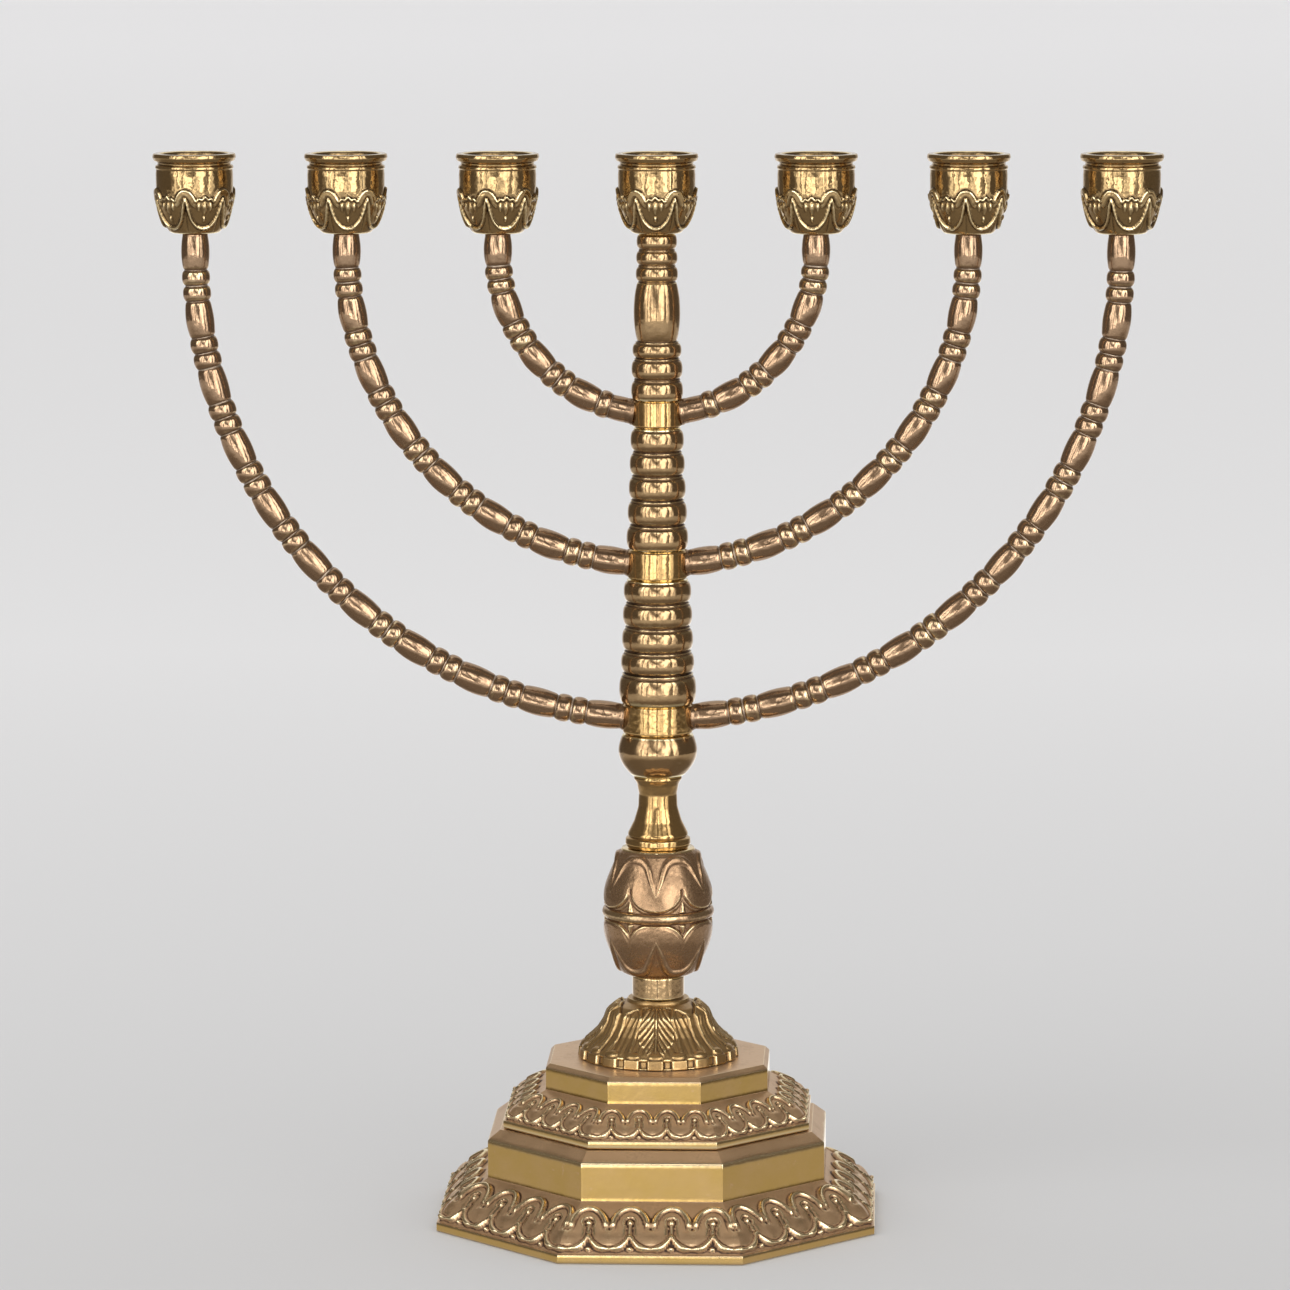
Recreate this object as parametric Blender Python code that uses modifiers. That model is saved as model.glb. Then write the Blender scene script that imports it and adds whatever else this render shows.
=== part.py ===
"""Seven-branched brass candelabrum (menorah), modelled as the pieces it comes apart into.

Two stacked octagonal base castings, an acanthus dome, a neck sleeve, an egg knop, a vase
and a ball carry a stem of three hubs and three beaded spacers, all threaded on one tie rod.
Each hub holds a pair of arms, each arm holds a candle cup on a screw, and the rod's top nut
holds the centre cup. Each hub turns on the rod with its arms and cups.

Frame: origin on the floor under the stem, +Z up, arms along +X and -X, front towards -Y.
Metres throughout; the sizes below are written in millimetres times MM.
"""

import math

import bmesh
import bpy
import numpy as np
from mathutils import Matrix

MM = 0.001

# Clearances
GAP = 0.3 * MM                    # left between pieces that touch
BORE_CLEARANCE = 0.3 * MM         # around the rod, the screws and the arm tenons, on the radius

# Base: apothems (centre to flat side) and heights of the two octagonal castings
CASTING_WALL = 3.0 * MM
FOOT_APOTHEM = 73.2 * MM
FOOT_RIM_HEIGHT = 3.0 * MM
LOWER_BAND_APOTHEM = 56.3 * MM
LOWER_SLOPE_HEIGHT = 13.8 * MM
LOWER_BAND_HEIGHT = 12.8 * MM
LOWER_BEVEL_HEIGHT = 3.3 * MM
LOWER_BEVEL_INSET = 4.2 * MM
TIER_RIM_INSET = 0.9 * MM         # the upper casting's rim, inside the bevel's top edge
TIER_RIM_HEIGHT = 2.7 * MM
UPPER_SLOPE_HEIGHT = 9.4 * MM
UPPER_BAND_APOTHEM = 37.2 * MM
UPPER_BAND_HEIGHT = 7.5 * MM
TOP_CHAMFER = 1.4 * MM
SLOPE_BELLY = 1.2 * MM            # how far the ornament slopes swell out at their middle

# Stem pieces, bottom to top
DOME_HEIGHT = 19.7 * MM
DOME_RING_R = 27.2 * MM           # the ring of tabs that stands on the top plate
DOME_RING_HEIGHT = 4.2 * MM
DOME_WAIST_R = 17.4 * MM          # where the leaves start to flare out
DOME_CROWN_R = 10.6 * MM
DOME_CROWN_HEIGHT = 7.0 * MM
DOME_WALL = 2.6 * MM
SLEEVE_R = 8.75 * MM
SLEEVE_HEIGHT = 7.3 * MM
EGG_HEIGHT = 43.3 * MM
EGG_R = 18.3 * MM
EGG_TOP_R = 12.8 * MM
EGG_BOTTOM_R = 10.1 * MM
EGG_BAND_R = 19.0 * MM
EGG_BAND_HEIGHT = 3.6 * MM
VASE_HEIGHT = 24.1 * MM
VASE_LIP_R = 8.3 * MM
VASE_LIP_HEIGHT = 1.6 * MM
VASE_WAIST_R = 6.5 * MM
VASE_WAIST_DEPTH = 8.5 * MM       # from the lip's underside down to the waist
VASE_FOOT_R = 11.0 * MM
VASE_FOOT_HEIGHT = 3.6 * MM
BALL_HEIGHT = 13.9 * MM
BALL_R = 13.2 * MM
BALL_TOP_R = 11.8 * MM
BALL_BOTTOM_R = 8.7 * MM

# Hubs: the collars that hold the arms
LOWER_HUB_R = 11.8 * MM
MIDDLE_HUB_R = 10.05 * MM
UPPER_HUB_R = 8.3 * MM
LOWER_HUB_LIP = 0.95 * MM         # of collar above and below the arm's barrel
MIDDLE_HUB_LIP = 0.8 * MM
UPPER_HUB_LIP = 0.5 * MM
HUB_EDGE = 0.35 * MM              # chamfer on the collar's edges

# Spacers: (height, radius) of each ring bead, from the top down, and how deep the grooves cut
LOWER_BEADS = [(7.8 * MM, 11.3 * MM), (8.1 * MM, 11.6 * MM), (8.2 * MM, 11.9 * MM),
               (7.5 * MM, 12.25 * MM), (9.8 * MM, 13.0 * MM)]
MIDDLE_BEADS = [(8.0 * MM, 8.9 * MM), (8.0 * MM, 9.2 * MM), (8.1 * MM, 9.5 * MM),
                (8.4 * MM, 9.9 * MM), (7.9 * MM, 10.4 * MM)]
UPPER_TOP_BEADS = [(5.3 * MM, 6.7 * MM), (5.2 * MM, 6.85 * MM), (5.6 * MM, 7.0 * MM)]
UPPER_BOTTOM_BEADS = [(5.6 * MM, 8.15 * MM), (7.0 * MM, 8.5 * MM), (6.4 * MM, 8.7 * MM)]
UPPER_BARREL_HEIGHT = 19.7 * MM
UPPER_BARREL_R = 7.7 * MM
BEAD_GROOVE = 0.8 * MM

# Arms: reach is from the stem's axis to the cup's, straight is the upright end under the cup
INNER_REACH = 52.7 * MM
MIDDLE_SPACING = 50.3 * MM        # from the inner arm's cup to the middle arm's
OUTER_SPACING = 50.4 * MM         # from the middle arm's cup to the outer arm's
OUTER_STRAIGHT = 9.0 * MM
MIDDLE_STRAIGHT = 7.35 * MM
INNER_STRAIGHT = 7.05 * MM
ARM_NECK_R = 4.1 * MM             # in the grooves and at both ends
ARM_SWELL = 0.5 * MM              # how far barrels and beads stand out from the grooves
ARM_ROOT_INSET = 0.2 * MM         # how much thinner the arm is where it meets its hub
TENON_R = 2.6 * MM
TENON_LENGTH = 4.5 * MM

# Candle cups
CANDLE_BORE_R = 11.0 * MM
CUP_HEIGHT = 26.3 * MM
CUP_RIM_WALL = 2.87 * MM          # walls are measured from the bore
CUP_RIM_HEIGHT = 2.1 * MM
CUP_GROOVE_WALL = 1.2 * MM
CUP_GROOVE_HEIGHT = 2.6 * MM
CUP_BODY_WALL = 2.0 * MM
CUP_BODY_HEIGHT = 5.2 * MM
CUP_RELIEF_WALL = 2.6 * MM        # to the top of the raised ornament
CUP_FOOT_INSET = 5.65 * MM        # how much narrower the foot is than the ornament
CUP_FLOOR = 6.3 * MM
BORE_CORNER = 1.5 * MM            # chamfer at the socket's floor
MOUTH_CHAMFER = 0.8 * MM

# Rod, nuts, washer and cup screws
ROD_R = 3.0 * MM
TOP_ROD_PROUD = 0.5 * MM          # of rod past each nut
BASE_ROD_PROUD = 1.5 * MM
NUT_ACROSS_FLATS = 10.0 * MM
SPANNER_ROOM = 2.0 * MM           # around the top nut, for a box spanner
TOP_NUT_HEIGHT = 3.2 * MM
BASE_NUT_HEIGHT = 5.0 * MM
WASHER_R = 10.0 * MM
WASHER_THICKNESS = 1.5 * MM
SCREW_R = 2.0 * MM
SCREW_HEAD_R = 3.5 * MM
SCREW_HEAD_HEIGHT = 2.4 * MM
HEAD_SUNK = 0.2 * MM              # from the socket's floor down to a screw's or the rod's top
SCREW_SLOT_WIDTH = 1.0 * MM
SCREW_SLOT_DEPTH = 1.2 * MM
SCREW_GRIP = 7.5 * MM             # of thread inside the arm
SCREW_END_ROOM = 1.0 * MM

# How finely round pieces are cut
STEM_SIDES = 16
CUP_SIDES = 16
HARDWARE_SIDES = 14
ARM_BEVEL_RESOLUTION = 2
CURVE_SAMPLES = 400
SHARP_ANGLE = math.radians(40)
MERGE = 0.00001

# Worked out from the values above
ROD_BORE_R = ROD_R + BORE_CLEARANCE
SCREW_BORE_R = SCREW_R + BORE_CLEARANCE
NUT_CORNER_R = NUT_ACROSS_FLATS / 2 / math.cos(math.pi / 6)
SCREW_RECESS_DEPTH = GAP + SCREW_HEAD_HEIGHT + HEAD_SUNK
NUT_RECESS_DEPTH = GAP + TOP_NUT_HEIGHT + TOP_ROD_PROUD + HEAD_SUNK
MIDDLE_REACH = INNER_REACH + MIDDLE_SPACING
OUTER_REACH = MIDDLE_REACH + OUTER_SPACING
ARM_BARREL_R = ARM_NECK_R + ARM_SWELL
ARM_ROOT_R = ARM_NECK_R - ARM_ROOT_INSET
OCTAGON = 8
APOTHEM_TO_CORNER = 1 / math.cos(math.pi / OCTAGON)
BRASS = (0.50, 0.30, 0.085, 1.0)
STEEL = (0.42, 0.42, 0.40, 1.0)


# ---------------------------------------------------------------- scene, materials, helpers

def clear_scene():
    for obj in list(bpy.data.objects):
        bpy.data.objects.remove(obj, do_unlink=True)


def new_collection(name, hidden=False):
    collection = bpy.data.collections.new(name)
    collection.hide_render = hidden
    bpy.context.scene.collection.children.link(collection)
    return collection


def give_material(obj, colour=BRASS, roughness=0.32, metallic=1.0):
    material = bpy.data.materials.new(f"{obj.name}_metal")
    material.use_nodes = True
    shader = material.node_tree.nodes["Principled BSDF"]
    shader.inputs["Base Color"].default_value = colour
    shader.inputs["Roughness"].default_value = roughness
    shader.inputs["Metallic"].default_value = metallic
    obj.data.materials.clear()
    obj.data.materials.append(material)


def link(name, data, collection):
    obj = bpy.data.objects.new(name, data)
    collection.objects.link(obj)
    return obj


def settle(obj, smooth=True):
    """Turns an object and its modifiers into one plain mesh, with its seams welded."""
    bpy.context.view_layer.update()
    graph = bpy.context.evaluated_depsgraph_get()
    mesh = bpy.data.meshes.new_from_object(obj.evaluated_get(graph))
    welded = bmesh.new()
    welded.from_mesh(mesh)
    bmesh.ops.remove_doubles(welded, verts=welded.verts, dist=MERGE)
    welded.to_mesh(mesh)
    welded.free()
    if smooth:
        mesh.shade_smooth()
        mesh.set_sharp_from_angle(angle=SHARP_ANGLE)
    else:
        mesh.shade_flat()
    mesh.name = obj.name
    obj.modifiers.clear()
    obj.data = mesh
    return mesh


def profile_mesh(name, outline, closed):
    """An edge mesh of (radius, height) points in the XZ plane."""
    count = len(outline)
    edges = [(i, (i + 1) % count) for i in range(count if closed else count - 1)]
    mesh = bpy.data.meshes.new(name)
    mesh.from_pydata([(r, 0.0, z) for r, z in outline], edges, [])
    return mesh


def turned(name, outline, collection, sides=STEM_SIDES, closed=True):
    """A piece turned about Z: its outline runs down the outside, then up the bore."""
    obj = link(name, profile_mesh(name, outline, closed), collection)
    screw = obj.modifiers.new("turn", "SCREW")
    screw.steps = screw.render_steps = sides
    screw.use_merge_vertices = True
    screw.merge_threshold = MERGE
    return obj


def cylinder(name, radius, low, high, collection, sides=HARDWARE_SIDES, along="Z"):
    """A cylinder from low to high along an axis, with its length on Z or on X."""
    shape = bmesh.new()
    bmesh.ops.create_cone(shape, cap_ends=True, segments=sides, radius1=radius,
                          radius2=radius, depth=high - low)
    bmesh.ops.translate(shape, verts=shape.verts, vec=(0, 0, (low + high) / 2))
    if along == "X":
        bmesh.ops.rotate(shape, verts=shape.verts, matrix=Matrix.Rotation(math.pi / 2, 3, "Y"))
    mesh = bpy.data.meshes.new(name)
    shape.to_mesh(mesh)
    shape.free()
    return link(name, mesh, collection)


def as_cutter(obj):
    obj.hide_render = True
    obj.display_type = "WIRE"
    return obj


def boolean(obj, other, operation="DIFFERENCE"):
    modifier = obj.modifiers.new(other.name, "BOOLEAN")
    modifier.operation = operation
    modifier.object = other
    modifier.solver = "EXACT"


def bored(outside, bore_r):
    """Closes an outside outline with a straight bore."""
    return outside + [(bore_r, outside[-1][1]), (bore_r, outside[0][1])]


def bulge(end_r, mid_r, end_z, mid_z, power, count, ends=(True, True)):
    """Points of a belly that swells from end_r at end_z to mid_r at mid_z."""
    first = 0 if ends[0] else 1
    last = count if ends[1] else count - 1
    points = []
    for i in range(first, last + 1):
        share = i / count
        swell = math.sin(share * math.pi / 2) ** power
        points.append((end_r + (mid_r - end_r) * swell, end_z + (mid_z - end_z) * share))
    return points


def bead_stack(beads, top, flat_top, flat_bottom):
    """Outline of ring beads from the top down, with a groove between each two."""
    points = []
    z = top
    for index, (height, radius) in enumerate(beads):
        first = index == 0
        last = index == len(beads) - 1
        if not (first and flat_top):
            points.append((radius - BEAD_GROOVE, z))
        points.append((radius, z if first and flat_top else z - 0.28 * height))
        z -= height
        points.append((radius, z if last and flat_bottom else z + 0.28 * height))
    if not flat_bottom:
        points.append((beads[-1][1] - BEAD_GROOVE, z))
    return points


def beads_height(beads):
    return sum(height for height, radius in beads)


# ---------------------------------------------------------------- heights up the stem

LOWER_CASTING_TOP = (FOOT_RIM_HEIGHT + LOWER_SLOPE_HEIGHT + LOWER_BAND_HEIGHT
                     + LOWER_BEVEL_HEIGHT)
UPPER_CASTING_BOTTOM = LOWER_CASTING_TOP + GAP
UPPER_CASTING_TOP = (UPPER_CASTING_BOTTOM + TIER_RIM_HEIGHT + UPPER_SLOPE_HEIGHT
                     + UPPER_BAND_HEIGHT + TOP_CHAMFER)
DOME_BOTTOM = UPPER_CASTING_TOP + GAP
SLEEVE_BOTTOM = DOME_BOTTOM + DOME_HEIGHT + GAP
EGG_BOTTOM = SLEEVE_BOTTOM + SLEEVE_HEIGHT + GAP
VASE_BOTTOM = EGG_BOTTOM + EGG_HEIGHT + GAP
BALL_BOTTOM = VASE_BOTTOM + VASE_HEIGHT + GAP
LOWER_HUB_BOTTOM = BALL_BOTTOM + BALL_HEIGHT + GAP
LOWER_HUB_HEIGHT = 2 * (ARM_NECK_R + LOWER_HUB_LIP)
LOWER_SPACER_BOTTOM = LOWER_HUB_BOTTOM + LOWER_HUB_HEIGHT + GAP
MIDDLE_HUB_BOTTOM = LOWER_SPACER_BOTTOM + beads_height(LOWER_BEADS) + GAP
MIDDLE_HUB_HEIGHT = 2 * (ARM_NECK_R + MIDDLE_HUB_LIP)
MIDDLE_SPACER_BOTTOM = MIDDLE_HUB_BOTTOM + MIDDLE_HUB_HEIGHT + GAP
UPPER_HUB_BOTTOM = MIDDLE_SPACER_BOTTOM + beads_height(MIDDLE_BEADS) + GAP
UPPER_HUB_HEIGHT = 2 * (ARM_NECK_R + UPPER_HUB_LIP)
UPPER_SPACER_BOTTOM = UPPER_HUB_BOTTOM + UPPER_HUB_HEIGHT + GAP
UPPER_SPACER_HEIGHT = (beads_height(UPPER_TOP_BEADS) + UPPER_BARREL_HEIGHT
                       + beads_height(UPPER_BOTTOM_BEADS))
ARM_TOP = UPPER_SPACER_BOTTOM + UPPER_SPACER_HEIGHT
CUP_BOTTOM = ARM_TOP + GAP
CUP_FLOOR_TOP = CUP_BOTTOM + CUP_FLOOR
SCREW_HEAD_BOTTOM = CUP_FLOOR_TOP - SCREW_RECESS_DEPTH + GAP
TOP_NUT_BOTTOM = CUP_FLOOR_TOP - NUT_RECESS_DEPTH + GAP
WASHER_TOP = LOWER_CASTING_TOP - CASTING_WALL - GAP
BASE_NUT_TOP = WASHER_TOP - WASHER_THICKNESS - GAP


# ---------------------------------------------------------------- base castings

def octagonal_casting(name, outline, collection, cutters):
    """An octagonal shell from its outside outline of (apothem, height), drilled for the rod."""
    corners = [(apothem * APOTHEM_TO_CORNER, z) for apothem, z in outline]
    obj = turned(name, corners, collection, sides=OCTAGON, closed=False)
    shell = obj.modifiers.new("wall", "SOLIDIFY")
    shell.thickness = CASTING_WALL
    shell.offset = -1
    shell.use_even_offset = True
    drill = as_cutter(cylinder(f"{name}_drill", ROD_BORE_R, outline[0][1] - 2 * CASTING_WALL,
                               outline[0][1] + CASTING_WALL, cutters))
    boolean(obj, drill)
    mesh = settle(obj, smooth=False)
    mesh.transform(Matrix.Rotation(math.pi / OCTAGON, 4, "Z"))
    return obj


def belly(upper, lower):
    """The middle of an ornament slope between two (apothem, height) points, swollen outwards."""
    run = lower[0] - upper[0]
    drop = upper[1] - lower[1]
    out = SLOPE_BELLY / math.hypot(run, drop)
    return ((upper[0] + lower[0]) / 2 + drop * out, (upper[1] + lower[1]) / 2 + run * out)


def lower_casting(collection, cutters):
    bevel_foot = LOWER_CASTING_TOP - LOWER_BEVEL_HEIGHT
    band_foot = bevel_foot - LOWER_BAND_HEIGHT
    outline = [(0, LOWER_CASTING_TOP),
               (LOWER_BAND_APOTHEM - LOWER_BEVEL_INSET, LOWER_CASTING_TOP),
               (LOWER_BAND_APOTHEM, bevel_foot),
               (LOWER_BAND_APOTHEM, band_foot),
               belly((LOWER_BAND_APOTHEM, band_foot), (FOOT_APOTHEM, FOOT_RIM_HEIGHT)),
               (FOOT_APOTHEM, FOOT_RIM_HEIGHT),
               (FOOT_APOTHEM, 0)]
    return octagonal_casting("base_lower_casting", outline, collection, cutters)


def upper_casting(collection, cutters):
    rim_apothem = LOWER_BAND_APOTHEM - LOWER_BEVEL_INSET - TIER_RIM_INSET
    rim_top = UPPER_CASTING_BOTTOM + TIER_RIM_HEIGHT
    band_foot = rim_top + UPPER_SLOPE_HEIGHT
    outline = [(0, UPPER_CASTING_TOP),
               (UPPER_BAND_APOTHEM - TOP_CHAMFER, UPPER_CASTING_TOP),
               (UPPER_BAND_APOTHEM, UPPER_CASTING_TOP - TOP_CHAMFER),
               (UPPER_BAND_APOTHEM, band_foot),
               belly((UPPER_BAND_APOTHEM, band_foot), (rim_apothem, rim_top)),
               (rim_apothem, rim_top),
               (rim_apothem, UPPER_CASTING_BOTTOM)]
    return octagonal_casting("base_upper_casting", outline, collection, cutters)


# ---------------------------------------------------------------- turned stem pieces

def acanthus_dome(collection):
    """A hollow cast dome: crown, flaring leaves and an upright ring that stands on the plate."""
    top = DOME_BOTTOM + DOME_HEIGHT
    crown_foot = top - DOME_CROWN_HEIGHT
    ring_top = DOME_BOTTOM + DOME_RING_HEIGHT
    flare = [(DOME_WAIST_R + (DOME_RING_R - DOME_WAIST_R) * (share ** 2),
              crown_foot + (ring_top - crown_foot) * share) for share in (0.35, 0.7, 1.0)]
    outside = bulge(DOME_CROWN_R, DOME_WAIST_R, top, crown_foot, 0.8, 4) + flare
    outside.append((DOME_RING_R, DOME_BOTTOM))
    inside = [(r - DOME_WALL, max(z - DOME_WALL, DOME_BOTTOM))
              for r, z in reversed(outside[4:-1])]
    inside.insert(0, (DOME_RING_R - DOME_WALL, DOME_BOTTOM))
    roof = top - DOME_CROWN_HEIGHT
    inside.append((ROD_BORE_R, roof))
    return turned("acanthus_dome", outside + inside + [(ROD_BORE_R, top)], collection)


def neck_sleeve(collection):
    top = SLEEVE_BOTTOM + SLEEVE_HEIGHT
    outside = [(SLEEVE_R, top), (SLEEVE_R, SLEEVE_BOTTOM)]
    return turned("neck_sleeve", bored(outside, ROD_BORE_R), collection)


def egg_knop(collection):
    top = EGG_BOTTOM + EGG_HEIGHT
    middle = (top + EGG_BOTTOM) / 2
    band_top = middle + EGG_BAND_HEIGHT / 2
    band_bottom = middle - EGG_BAND_HEIGHT / 2
    outside = bulge(EGG_TOP_R, EGG_R, top, band_top, 0.75, 6)
    outside += [(EGG_BAND_R, middle + EGG_BAND_HEIGHT / 4),
                (EGG_BAND_R, middle - EGG_BAND_HEIGHT / 4)]
    outside += bulge(EGG_BOTTOM_R, EGG_R, EGG_BOTTOM, band_bottom, 0.6, 6)[::-1]
    return turned("egg_knop", bored(outside, ROD_BORE_R), collection)


def vase_neck(collection):
    top = VASE_BOTTOM + VASE_HEIGHT
    lip_foot = top - VASE_LIP_HEIGHT
    waist = lip_foot - VASE_WAIST_DEPTH
    foot_top = VASE_BOTTOM + VASE_FOOT_HEIGHT
    outside = [(VASE_LIP_R - VASE_LIP_HEIGHT / 3, top), (VASE_LIP_R, lip_foot + VASE_LIP_HEIGHT / 2)]
    outside += [(VASE_LIP_R - VASE_LIP_HEIGHT / 2, lip_foot),
                (VASE_WAIST_R, lip_foot - VASE_WAIST_DEPTH / 2), (VASE_WAIST_R, waist)]
    for share in (0.35, 0.7, 1.0):
        radius = VASE_WAIST_R + (VASE_FOOT_R - VASE_WAIST_R) * share ** 1.6
        outside.append((radius, waist + (foot_top - waist) * share))
    outside += [(VASE_FOOT_R, VASE_BOTTOM + VASE_FOOT_HEIGHT / 3),
                (VASE_FOOT_R - VASE_FOOT_HEIGHT / 6, VASE_BOTTOM)]
    return turned("vase_neck", bored(outside, ROD_BORE_R), collection)


def stem_ball(collection):
    top = BALL_BOTTOM + BALL_HEIGHT
    equator = BALL_BOTTOM + 0.6 * BALL_HEIGHT
    outside = bulge(BALL_TOP_R, BALL_R, top, equator, 0.9, 3)
    outside += bulge(BALL_BOTTOM_R, BALL_R, BALL_BOTTOM, equator, 0.8, 4, (True, False))[::-1]
    return turned("stem_ball", bored(outside, ROD_BORE_R), collection)


def spacer(name, beads, bottom, collection):
    outside = bead_stack(beads, bottom + beads_height(beads), False, True)
    return turned(name, bored(outside, ROD_BORE_R), collection)


def upper_spacer(collection):
    top = UPPER_SPACER_BOTTOM + UPPER_SPACER_HEIGHT
    barrel_top = top - beads_height(UPPER_TOP_BEADS)
    barrel_foot = barrel_top - UPPER_BARREL_HEIGHT
    outside = bead_stack(UPPER_TOP_BEADS, top, True, False)
    for share in (0.15, 0.5, 0.85):
        radius = UPPER_BARREL_R - BEAD_GROOVE * (2 * share - 1) ** 2
        outside.append((radius, barrel_top + (barrel_foot - barrel_top) * share))
    outside += bead_stack(UPPER_BOTTOM_BEADS, barrel_foot, False, True)
    return turned("upper_spacer", bored(outside, ROD_BORE_R), collection)


# ---------------------------------------------------------------- hubs and arms

def hub(name, radius, height, collection, cutters):
    """A collar about z = 0, bored for the rod and cross-drilled for the two arm tenons."""
    half = height / 2
    outside = [(radius - HUB_EDGE, half), (radius, half - HUB_EDGE),
               (radius, HUB_EDGE - half), (radius - HUB_EDGE, -half)]
    obj = turned(name, bored(outside, ROD_BORE_R), collection)
    reach = radius + CASTING_WALL
    drill = as_cutter(cylinder(f"{name}_drill", TENON_R + BORE_CLEARANCE, -reach, reach,
                               cutters, along="X"))
    boolean(obj, drill)
    settle(obj)
    return obj


def arm_route(reach, rise, straight):
    """Length along the arm, x and z of its centre line: a quarter round, then upright."""
    angle = np.linspace(0, math.pi / 2, CURVE_SAMPLES)
    x = np.append(reach * np.sin(angle), reach)
    z = np.append((rise - straight) * (1 - np.cos(angle)), rise)
    length = np.append(0, np.cumsum(np.hypot(np.diff(x), np.diff(z))))
    return length, x, z


BARREL = (1.0, [(0.0, ARM_NECK_R), (0.28, ARM_BARREL_R), (0.72, ARM_BARREL_R)])
BEAD = (0.44, [(0.0, ARM_NECK_R), (0.5, ARM_BARREL_R)])
STUB = (0.7, [(0.0, ARM_NECK_R), (0.55, ARM_NECK_R)])
OUTER_PATTERN = [BARREL] + 10 * [BEAD, BEAD, BARREL]
MIDDLE_PATTERN = [BARREL] + 7 * [BEAD, BEAD, BARREL]
INNER_PATTERN = [STUB, BEAD, BARREL] + 3 * [BEAD, BEAD, BARREL]


def arm_rings(pattern, start, end):
    """(length along the arm, radius) of each ring, the pattern stretched from start to end."""
    unit = (end - start) / sum(share for share, rings in pattern)
    rings = []
    for share, shape in pattern:
        rings += [(start + unit * share * place, radius) for place, radius in shape]
        start += unit * share
    rings[0] = (rings[0][0], ARM_ROOT_R)
    return rings + [(end, ARM_NECK_R)]


def arm_mesh(name, reach, rise, straight, hub_r, pattern, cutters):
    """One beaded arm along +X from the hub's centre at the origin, as a mesh."""
    length, x, z = arm_route(reach, rise, straight)
    root = np.interp(hub_r, x, length)
    rings = [(root - CASTING_WALL / 2, ARM_ROOT_R)] + arm_rings(pattern, root, length[-1])
    curve = bpy.data.curves.new(name, "CURVE")
    curve.dimensions = "3D"
    curve.bevel_depth = ARM_BARREL_R
    curve.bevel_resolution = ARM_BEVEL_RESOLUTION
    curve.use_fill_caps = True
    spline = curve.splines.new("POLY")
    spline.points.add(len(rings) - 1)
    for point, (along, radius) in zip(spline.points, rings):
        point.co = (np.interp(along, length, x), 0, np.interp(along, length, z), 1)
        point.radius = radius / ARM_BARREL_R
    rough = link(f"{name}_rough", curve, cutters)
    bpy.context.view_layer.update()
    graph = bpy.context.evaluated_depsgraph_get()
    blank = bpy.data.meshes.new_from_object(rough.evaluated_get(graph))
    bpy.data.objects.remove(rough, do_unlink=True)
    welded = bmesh.new()
    welded.from_mesh(blank)
    bmesh.ops.remove_doubles(welded, verts=welded.verts, dist=MERGE)
    bmesh.ops.recalc_face_normals(welded, faces=welded.faces)
    welded.to_mesh(blank)
    welded.free()
    arm = link(name, blank, cutters)
    saddle = as_cutter(cylinder(f"{name}_saddle", hub_r + GAP, -reach, reach, cutters, STEM_SIDES))
    tenon = as_cutter(cylinder(f"{name}_tenon", TENON_R, hub_r - TENON_LENGTH,
                               hub_r + CASTING_WALL, cutters, along="X"))
    drill = as_cutter(cylinder(f"{name}_drill", SCREW_BORE_R,
                               rise - SCREW_GRIP - SCREW_END_ROOM, rise + CASTING_WALL, cutters))
    drill.location.x = reach
    boolean(arm, saddle)
    boolean(arm, tenon, "UNION")
    boolean(arm, drill)
    mesh = settle(arm)
    bpy.data.objects.remove(arm, do_unlink=True)
    return mesh


# ---------------------------------------------------------------- cups and hardware

def cup_mesh(name, bore_r, recess_r, recess_depth, cutters):
    """A turned candle cup standing on z = 0. Its floor is bored for what holds it down, with a
    recess for the head or the nut, so that a candle stands flat on the floor."""
    relief_r = CANDLE_BORE_R + CUP_RELIEF_WALL
    rim_r = CANDLE_BORE_R + CUP_RIM_WALL
    groove_r = CANDLE_BORE_R + CUP_GROOVE_WALL
    body_r = CANDLE_BORE_R + CUP_BODY_WALL
    rim_foot = CUP_HEIGHT - CUP_RIM_HEIGHT
    body_top = rim_foot - CUP_GROOVE_HEIGHT
    relief_top = body_top - CUP_BODY_HEIGHT
    outside = [(rim_r, CUP_HEIGHT), (rim_r, rim_foot),
               (groove_r, rim_foot - CUP_GROOVE_HEIGHT / 4),
               (groove_r, body_top + CUP_GROOVE_HEIGHT / 4),
               (body_r, body_top), (body_r, relief_top + GAP)]
    outside += bulge(relief_r - CUP_FOOT_INSET, relief_r, 0, relief_top, 0.7, 5)[::-1]
    corner = min(BORE_CORNER, (CANDLE_BORE_R - recess_r) / 2)
    inside = [(bore_r, 0), (bore_r, CUP_FLOOR - recess_depth),
              (recess_r, CUP_FLOOR - recess_depth), (recess_r, CUP_FLOOR),
              (CANDLE_BORE_R - corner, CUP_FLOOR), (CANDLE_BORE_R, CUP_FLOOR + corner),
              (CANDLE_BORE_R, CUP_HEIGHT - MOUTH_CHAMFER),
              (CANDLE_BORE_R + MOUTH_CHAMFER, CUP_HEIGHT)]
    cup = turned(name, outside + inside, cutters, sides=CUP_SIDES)
    mesh = settle(cup)
    bpy.data.objects.remove(cup, do_unlink=True)
    return mesh


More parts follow.
